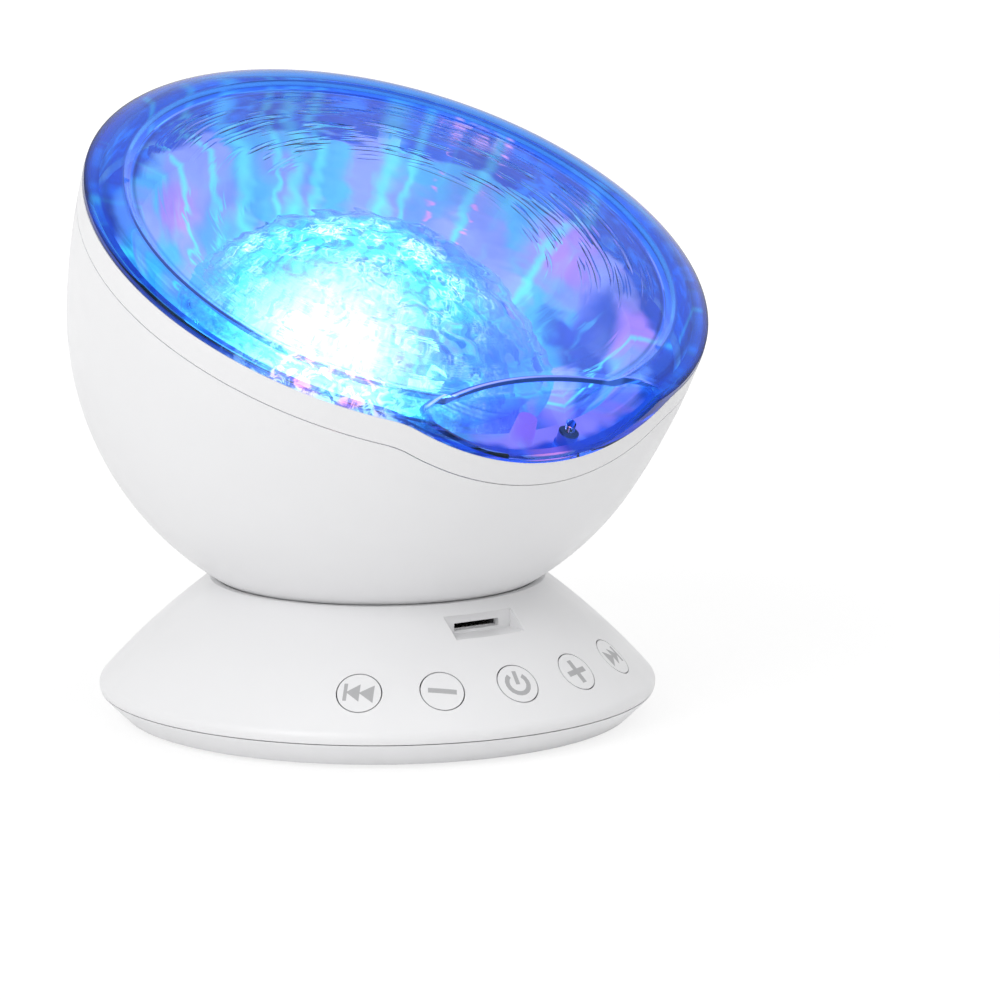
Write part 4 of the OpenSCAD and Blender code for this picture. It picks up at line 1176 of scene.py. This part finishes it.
def bar(left, right, low, high):
    """A straight printed bar."""
    return lambda s, t: (left + (right - left) * s, low + (high - low) * t)


def wedge(tip, back, half):
    """A printed triangle that points along the row."""
    return lambda s, t: (tip + (back - tip) * s, half * s * (2 * t - 1))


def arc(radius, width, start, end):
    """A printed arc."""
    def shape(s, t):
        turn = math.radians(start + (end - start) * s)
        reach = radius + width * (t - 0.5)
        return reach * math.cos(turn), reach * math.sin(turn)
    return shape


def skip_symbol(side):
    """A bar and two triangles, pointing left for minus one and right for one."""
    return [bar(side * 3.45, side * 2.65, -2.2, 2.2), wedge(side * 2.9, side * -0.1, 2.25),
            wedge(side * 0.1, side * -3.2, 2.25)]


# Each symbol's lean on its button in degrees, and its strokes in millimetres
SYMBOL_LEANS = {"previous": -4, "volume_down": -9, "power": -6, "volume_up": 4, "next": 0}
SYMBOLS = {
    "previous": skip_symbol(-1),
    "volume_down": [bar(-3.2, 3.2, -0.6, 0.6)],
    "power": [arc(2.6, 1.1, 128, 412), bar(-0.5, 0.5, -0.2, 3.3)],
    "volume_up": [bar(-3.1, 3.1, -0.65, 0.65), bar(-0.65, 0.65, -3.1, -0.6), bar(-0.65, 0.65, 0.6, 3.1)],
    "next": skip_symbol(1),
}


# The ink's top and underside from the button's face, and how far out the print starts
INK_LEVELS = (0.03 * MM, -0.1 * MM)
PRINT_FROM = 20 * MM


def print_patch(build, place, shape, steps=14, lines=6):
    """One thin layer of ink laid on a button's face, closed all round."""
    levels = []
    for lift in INK_LEVELS:
        levels.append([[build.verts.new(place(*shape(i / steps, k / lines), lift)) for k in range(lines + 1)]
                       for i in range(steps + 1)])
    top, low = levels
    for i in range(steps):
        for k in range(lines):
            build.faces.new((top[i][k], top[i + 1][k], top[i + 1][k + 1], top[i][k + 1]))
            build.faces.new((low[i][k], low[i][k + 1], low[i + 1][k + 1], low[i + 1][k]))
    for i in range(steps):
        build.faces.new((top[i][0], low[i][0], low[i + 1][0], top[i + 1][0]))
        build.faces.new((top[i][lines], top[i + 1][lines], low[i + 1][lines], low[i][lines]))
    for k in range(lines):
        build.faces.new((top[0][k], top[0][k + 1], low[0][k + 1], low[0][k]))
        build.faces.new((top[steps][k], low[steps][k], low[steps][k + 1], top[steps][k + 1]))


def middle_along(points, axes):
    """The middle of a cloud of points, measured along three axes."""
    middle = Vector()
    for axis in axes:
        reach = points @ np.array(axis)
        middle += axis * float((reach.min() + reach.max()) / 2)
    return middle


class PROJECTOR_OT_symbols(bpy.types.Operator):
    """Grey symbols printed on the five buttons"""

    bl_idname = "projector.symbols"
    bl_label = "Button symbols"

    def execute(self, context):
        ink = printed_ink("Grey ink", context.scene.projector_finishes.ink)
        for button in BUTTONS:
            joint = next(j for j in frame["joints"] if j["name"] == button + "_press")
            out = -Vector(joint["axis"])
            right = Vector((0, 0, 1)).cross(Vector((out.x, out.y, 0))).normalized()
            up = out.cross(right)
            mesh = frame["nodes"][button + "_button"].data
            middle = middle_along(node_points(button + "_button"), (right, up, out))
            for side in (right, up):
                side.rotate(Quaternion(out, math.radians(SYMBOL_LEANS[button])))
            tree = BVHTree.FromPolygons([v.co for v in mesh.vertices], [p.vertices for p in mesh.polygons])

            def place(across, along, lift):
                start = middle + right * across * MM + up * along * MM + out * PRINT_FROM
                hit = tree.ray_cast(start, -out)[0]
                if hit is None:
                    raise RuntimeError(f"the {button} symbol reaches past its button")
                return hit + out * lift

            build = bmesh.new()
            for shape in SYMBOLS[button]:
                print_patch(build, place, shape)
            symbol = finish_mesh(build, button + "_symbol", ink)
            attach(symbol, button + "_key")
        return {"FINISHED"}


def seen_plainly(nodes, links):
    """One for rays from the camera, from gloss and through the lens, and zero for soft light."""
    path = nodes.new("ShaderNodeLightPath")
    seen = path.outputs["Is Camera Ray"]
    for ray in ("Is Glossy Ray", "Is Transmission Ray"):
        larger = nodes.new("ShaderNodeMath")
        larger.operation = "MAXIMUM"
        links.new(seen, larger.inputs[0])
        links.new(path.outputs[ray], larger.inputs[1])
        seen = larger.outputs[0]
    return seen


def studio_world(world, light):
    """A white background to look at, and soft even light of its own level for the rest."""
    world.use_nodes = True
    nodes, links = world.node_tree.nodes, world.node_tree.links
    sky = nodes["Background"]
    sky.inputs["Color"].default_value = (1, 1, 1, 1)
    level = nodes.new("ShaderNodeMapRange")
    level.inputs["To Min"].default_value = light
    level.inputs["To Max"].default_value = 1.0
    links.new(seen_plainly(nodes, links), level.inputs["Value"])
    links.new(level.outputs[0], sky.inputs["Strength"])


# Places and sides of the two softboxes and the point that they face, in metres
LEFT_BOX = ((-1.2, -0.5, 0.9), 0.9)
TOP_BOX = ((0.1, -0.3, 1.5), 1.2)
LAMP_AIM = (0, 0, 0.07)
# The floor lies this far under the feet, so that their faces don't share its plane
FLOOR_GAP = 0.02 * MM
SENSOR_WIDTH = 36.0
NEAREST, FARTHEST = 0.05, 20.0


def soft_lamp(name, place, size, power):
    """A square softbox."""
    data = bpy.data.lights.new(name, "AREA")
    data.size = size
    data.energy = power
    lamp = bpy.data.objects.new(name, data)
    lamp.location = place
    lamp.rotation_mode = "QUATERNION"
    lamp.rotation_quaternion = (Vector(LAMP_AIM) - Vector(place)).to_track_quat("-Z", "Y")
    bpy.context.scene.collection.objects.link(lamp)
    return lamp


def floor_paper(name):
    """Pale paper that shows white to the camera, and keeps the shadow round the object."""
    shader = Shader(name)
    fibre = shader.noise(shader.place, 300, 3.0)
    paper = shader.mix(fibre, (0.9, 0.9, 0.9, 1), (0.94, 0.94, 0.94, 1))
    away = shader.vector("LENGTH", shader.place)["Value"]
    seen = seen_plainly(shader.nodes, shader.links)
    shader.set(
        Base_Color=shader.mix(seen, paper, shader.mix(fibre, (0.22, 0.22, 0.22, 1), (0.23, 0.23, 0.23, 1))),
        Roughness=0.9,
        Specular_IOR_Level=0.0,
        Emission_Color=(1, 1, 1, 1),
        Emission_Strength=shader.product(seen, shader.span(away, 0.1, 0.7, 0.8, 1.0)),
    )
    return shader.material


class PROJECTOR_OT_stage(bpy.types.Operator):
    """Floor, soft studio light and the camera"""

    bl_idname = "projector.stage"
    bl_label = "Stage"

    def execute(self, context):
        stage = context.scene.projector_stage
        scene = context.scene
        scene.view_settings.view_transform = "Standard"
        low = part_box("rubber_feet")[0].z - FLOOR_GAP
        half = stage.floor_size / 2
        mesh = bpy.data.meshes.new("floor")
        mesh.from_pydata([(-half, -half, low), (half, -half, low), (half, half, low), (-half, half, low)],
                         [], [(0, 1, 2, 3)])
        mesh.materials.append(floor_paper("Floor paper"))
        floor = bpy.data.objects.new("floor", mesh)
        scene.collection.objects.link(floor)
        scene.world = scene.world or bpy.data.worlds.new("World")
        studio_world(scene.world, stage.room_light)
        soft_lamp("left softbox", *LEFT_BOX, stage.left_power)
        soft_lamp("top softbox", *TOP_BOX, stage.top_power)
        data = bpy.data.cameras.new("photo camera")
        data.sensor_width = SENSOR_WIDTH
        data.lens = stage.camera_lens
        data.clip_start, data.clip_end = NEAREST, FARTHEST
        camera = bpy.data.objects.new("photo camera", data)
        camera.location = stage.camera_place
        camera.rotation_mode = "QUATERNION"
        aim = Vector(stage.camera_aim).to_track_quat("-Z", "Y")
        camera.rotation_quaternion = aim @ Quaternion((0, 0, 1), stage.camera_roll)
        scene.collection.objects.link(camera)
        scene.camera = camera
        return {"FINISHED"}


STEPS = (PROJECTOR_OT_shells, PROJECTOR_OT_lens, PROJECTOR_OT_glow, PROJECTOR_OT_works, PROJECTOR_OT_contacts,
         PROJECTOR_OT_symbols, PROJECTOR_OT_stage)


class PROJECTOR_PT_panel(bpy.types.Panel):
    """Lists the steps that dress the projector"""

    bl_idname = "PROJECTOR_PT_panel"
    bl_label = "Ocean wave projector"
    bl_space_type = "VIEW_3D"
    bl_region_type = "UI"
    bl_category = "Projector"

    def draw(self, context):
        for step in STEPS:
            self.layout.operator(step.bl_idname)
        for group in GROUPS:
            values = getattr(context.scene, group)
            column = self.layout.column()
            for name in values.bl_rna.properties.keys():
                if name not in ("rna_type", "name"):
                    column.prop(values, name)


GROUPS = {
    "projector_lens": LensSizes,
    "projector_glow": GlowSizes,
    "projector_contacts": ContactSizes,
    "projector_finishes": Finishes,
    "projector_stage": StageSizes,
}
CLASSES = (*GROUPS.values(), *STEPS, PROJECTOR_PT_panel)


def register():
    """Registers the sizes, the steps and the panel."""
    for item in CLASSES:
        bpy.utils.register_class(item)
    for name, group in GROUPS.items():
        setattr(bpy.types.Scene, name, PointerProperty(type=group))


def unregister():
    """Takes the panel, the steps and the sizes away again."""
    for name in GROUPS:
        delattr(bpy.types.Scene, name)
    for item in reversed(CLASSES):
        bpy.utils.unregister_class(item)


def main():
    """Dresses the frame."""
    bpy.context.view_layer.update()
    register()
    bpy.ops.projector.shells()
    bpy.ops.projector.lens()
    bpy.ops.projector.glow()
    bpy.ops.projector.works()
    bpy.ops.projector.contacts()
    bpy.ops.projector.symbols()
    bpy.ops.projector.stage()


if __name__ == "__main__":
    main()
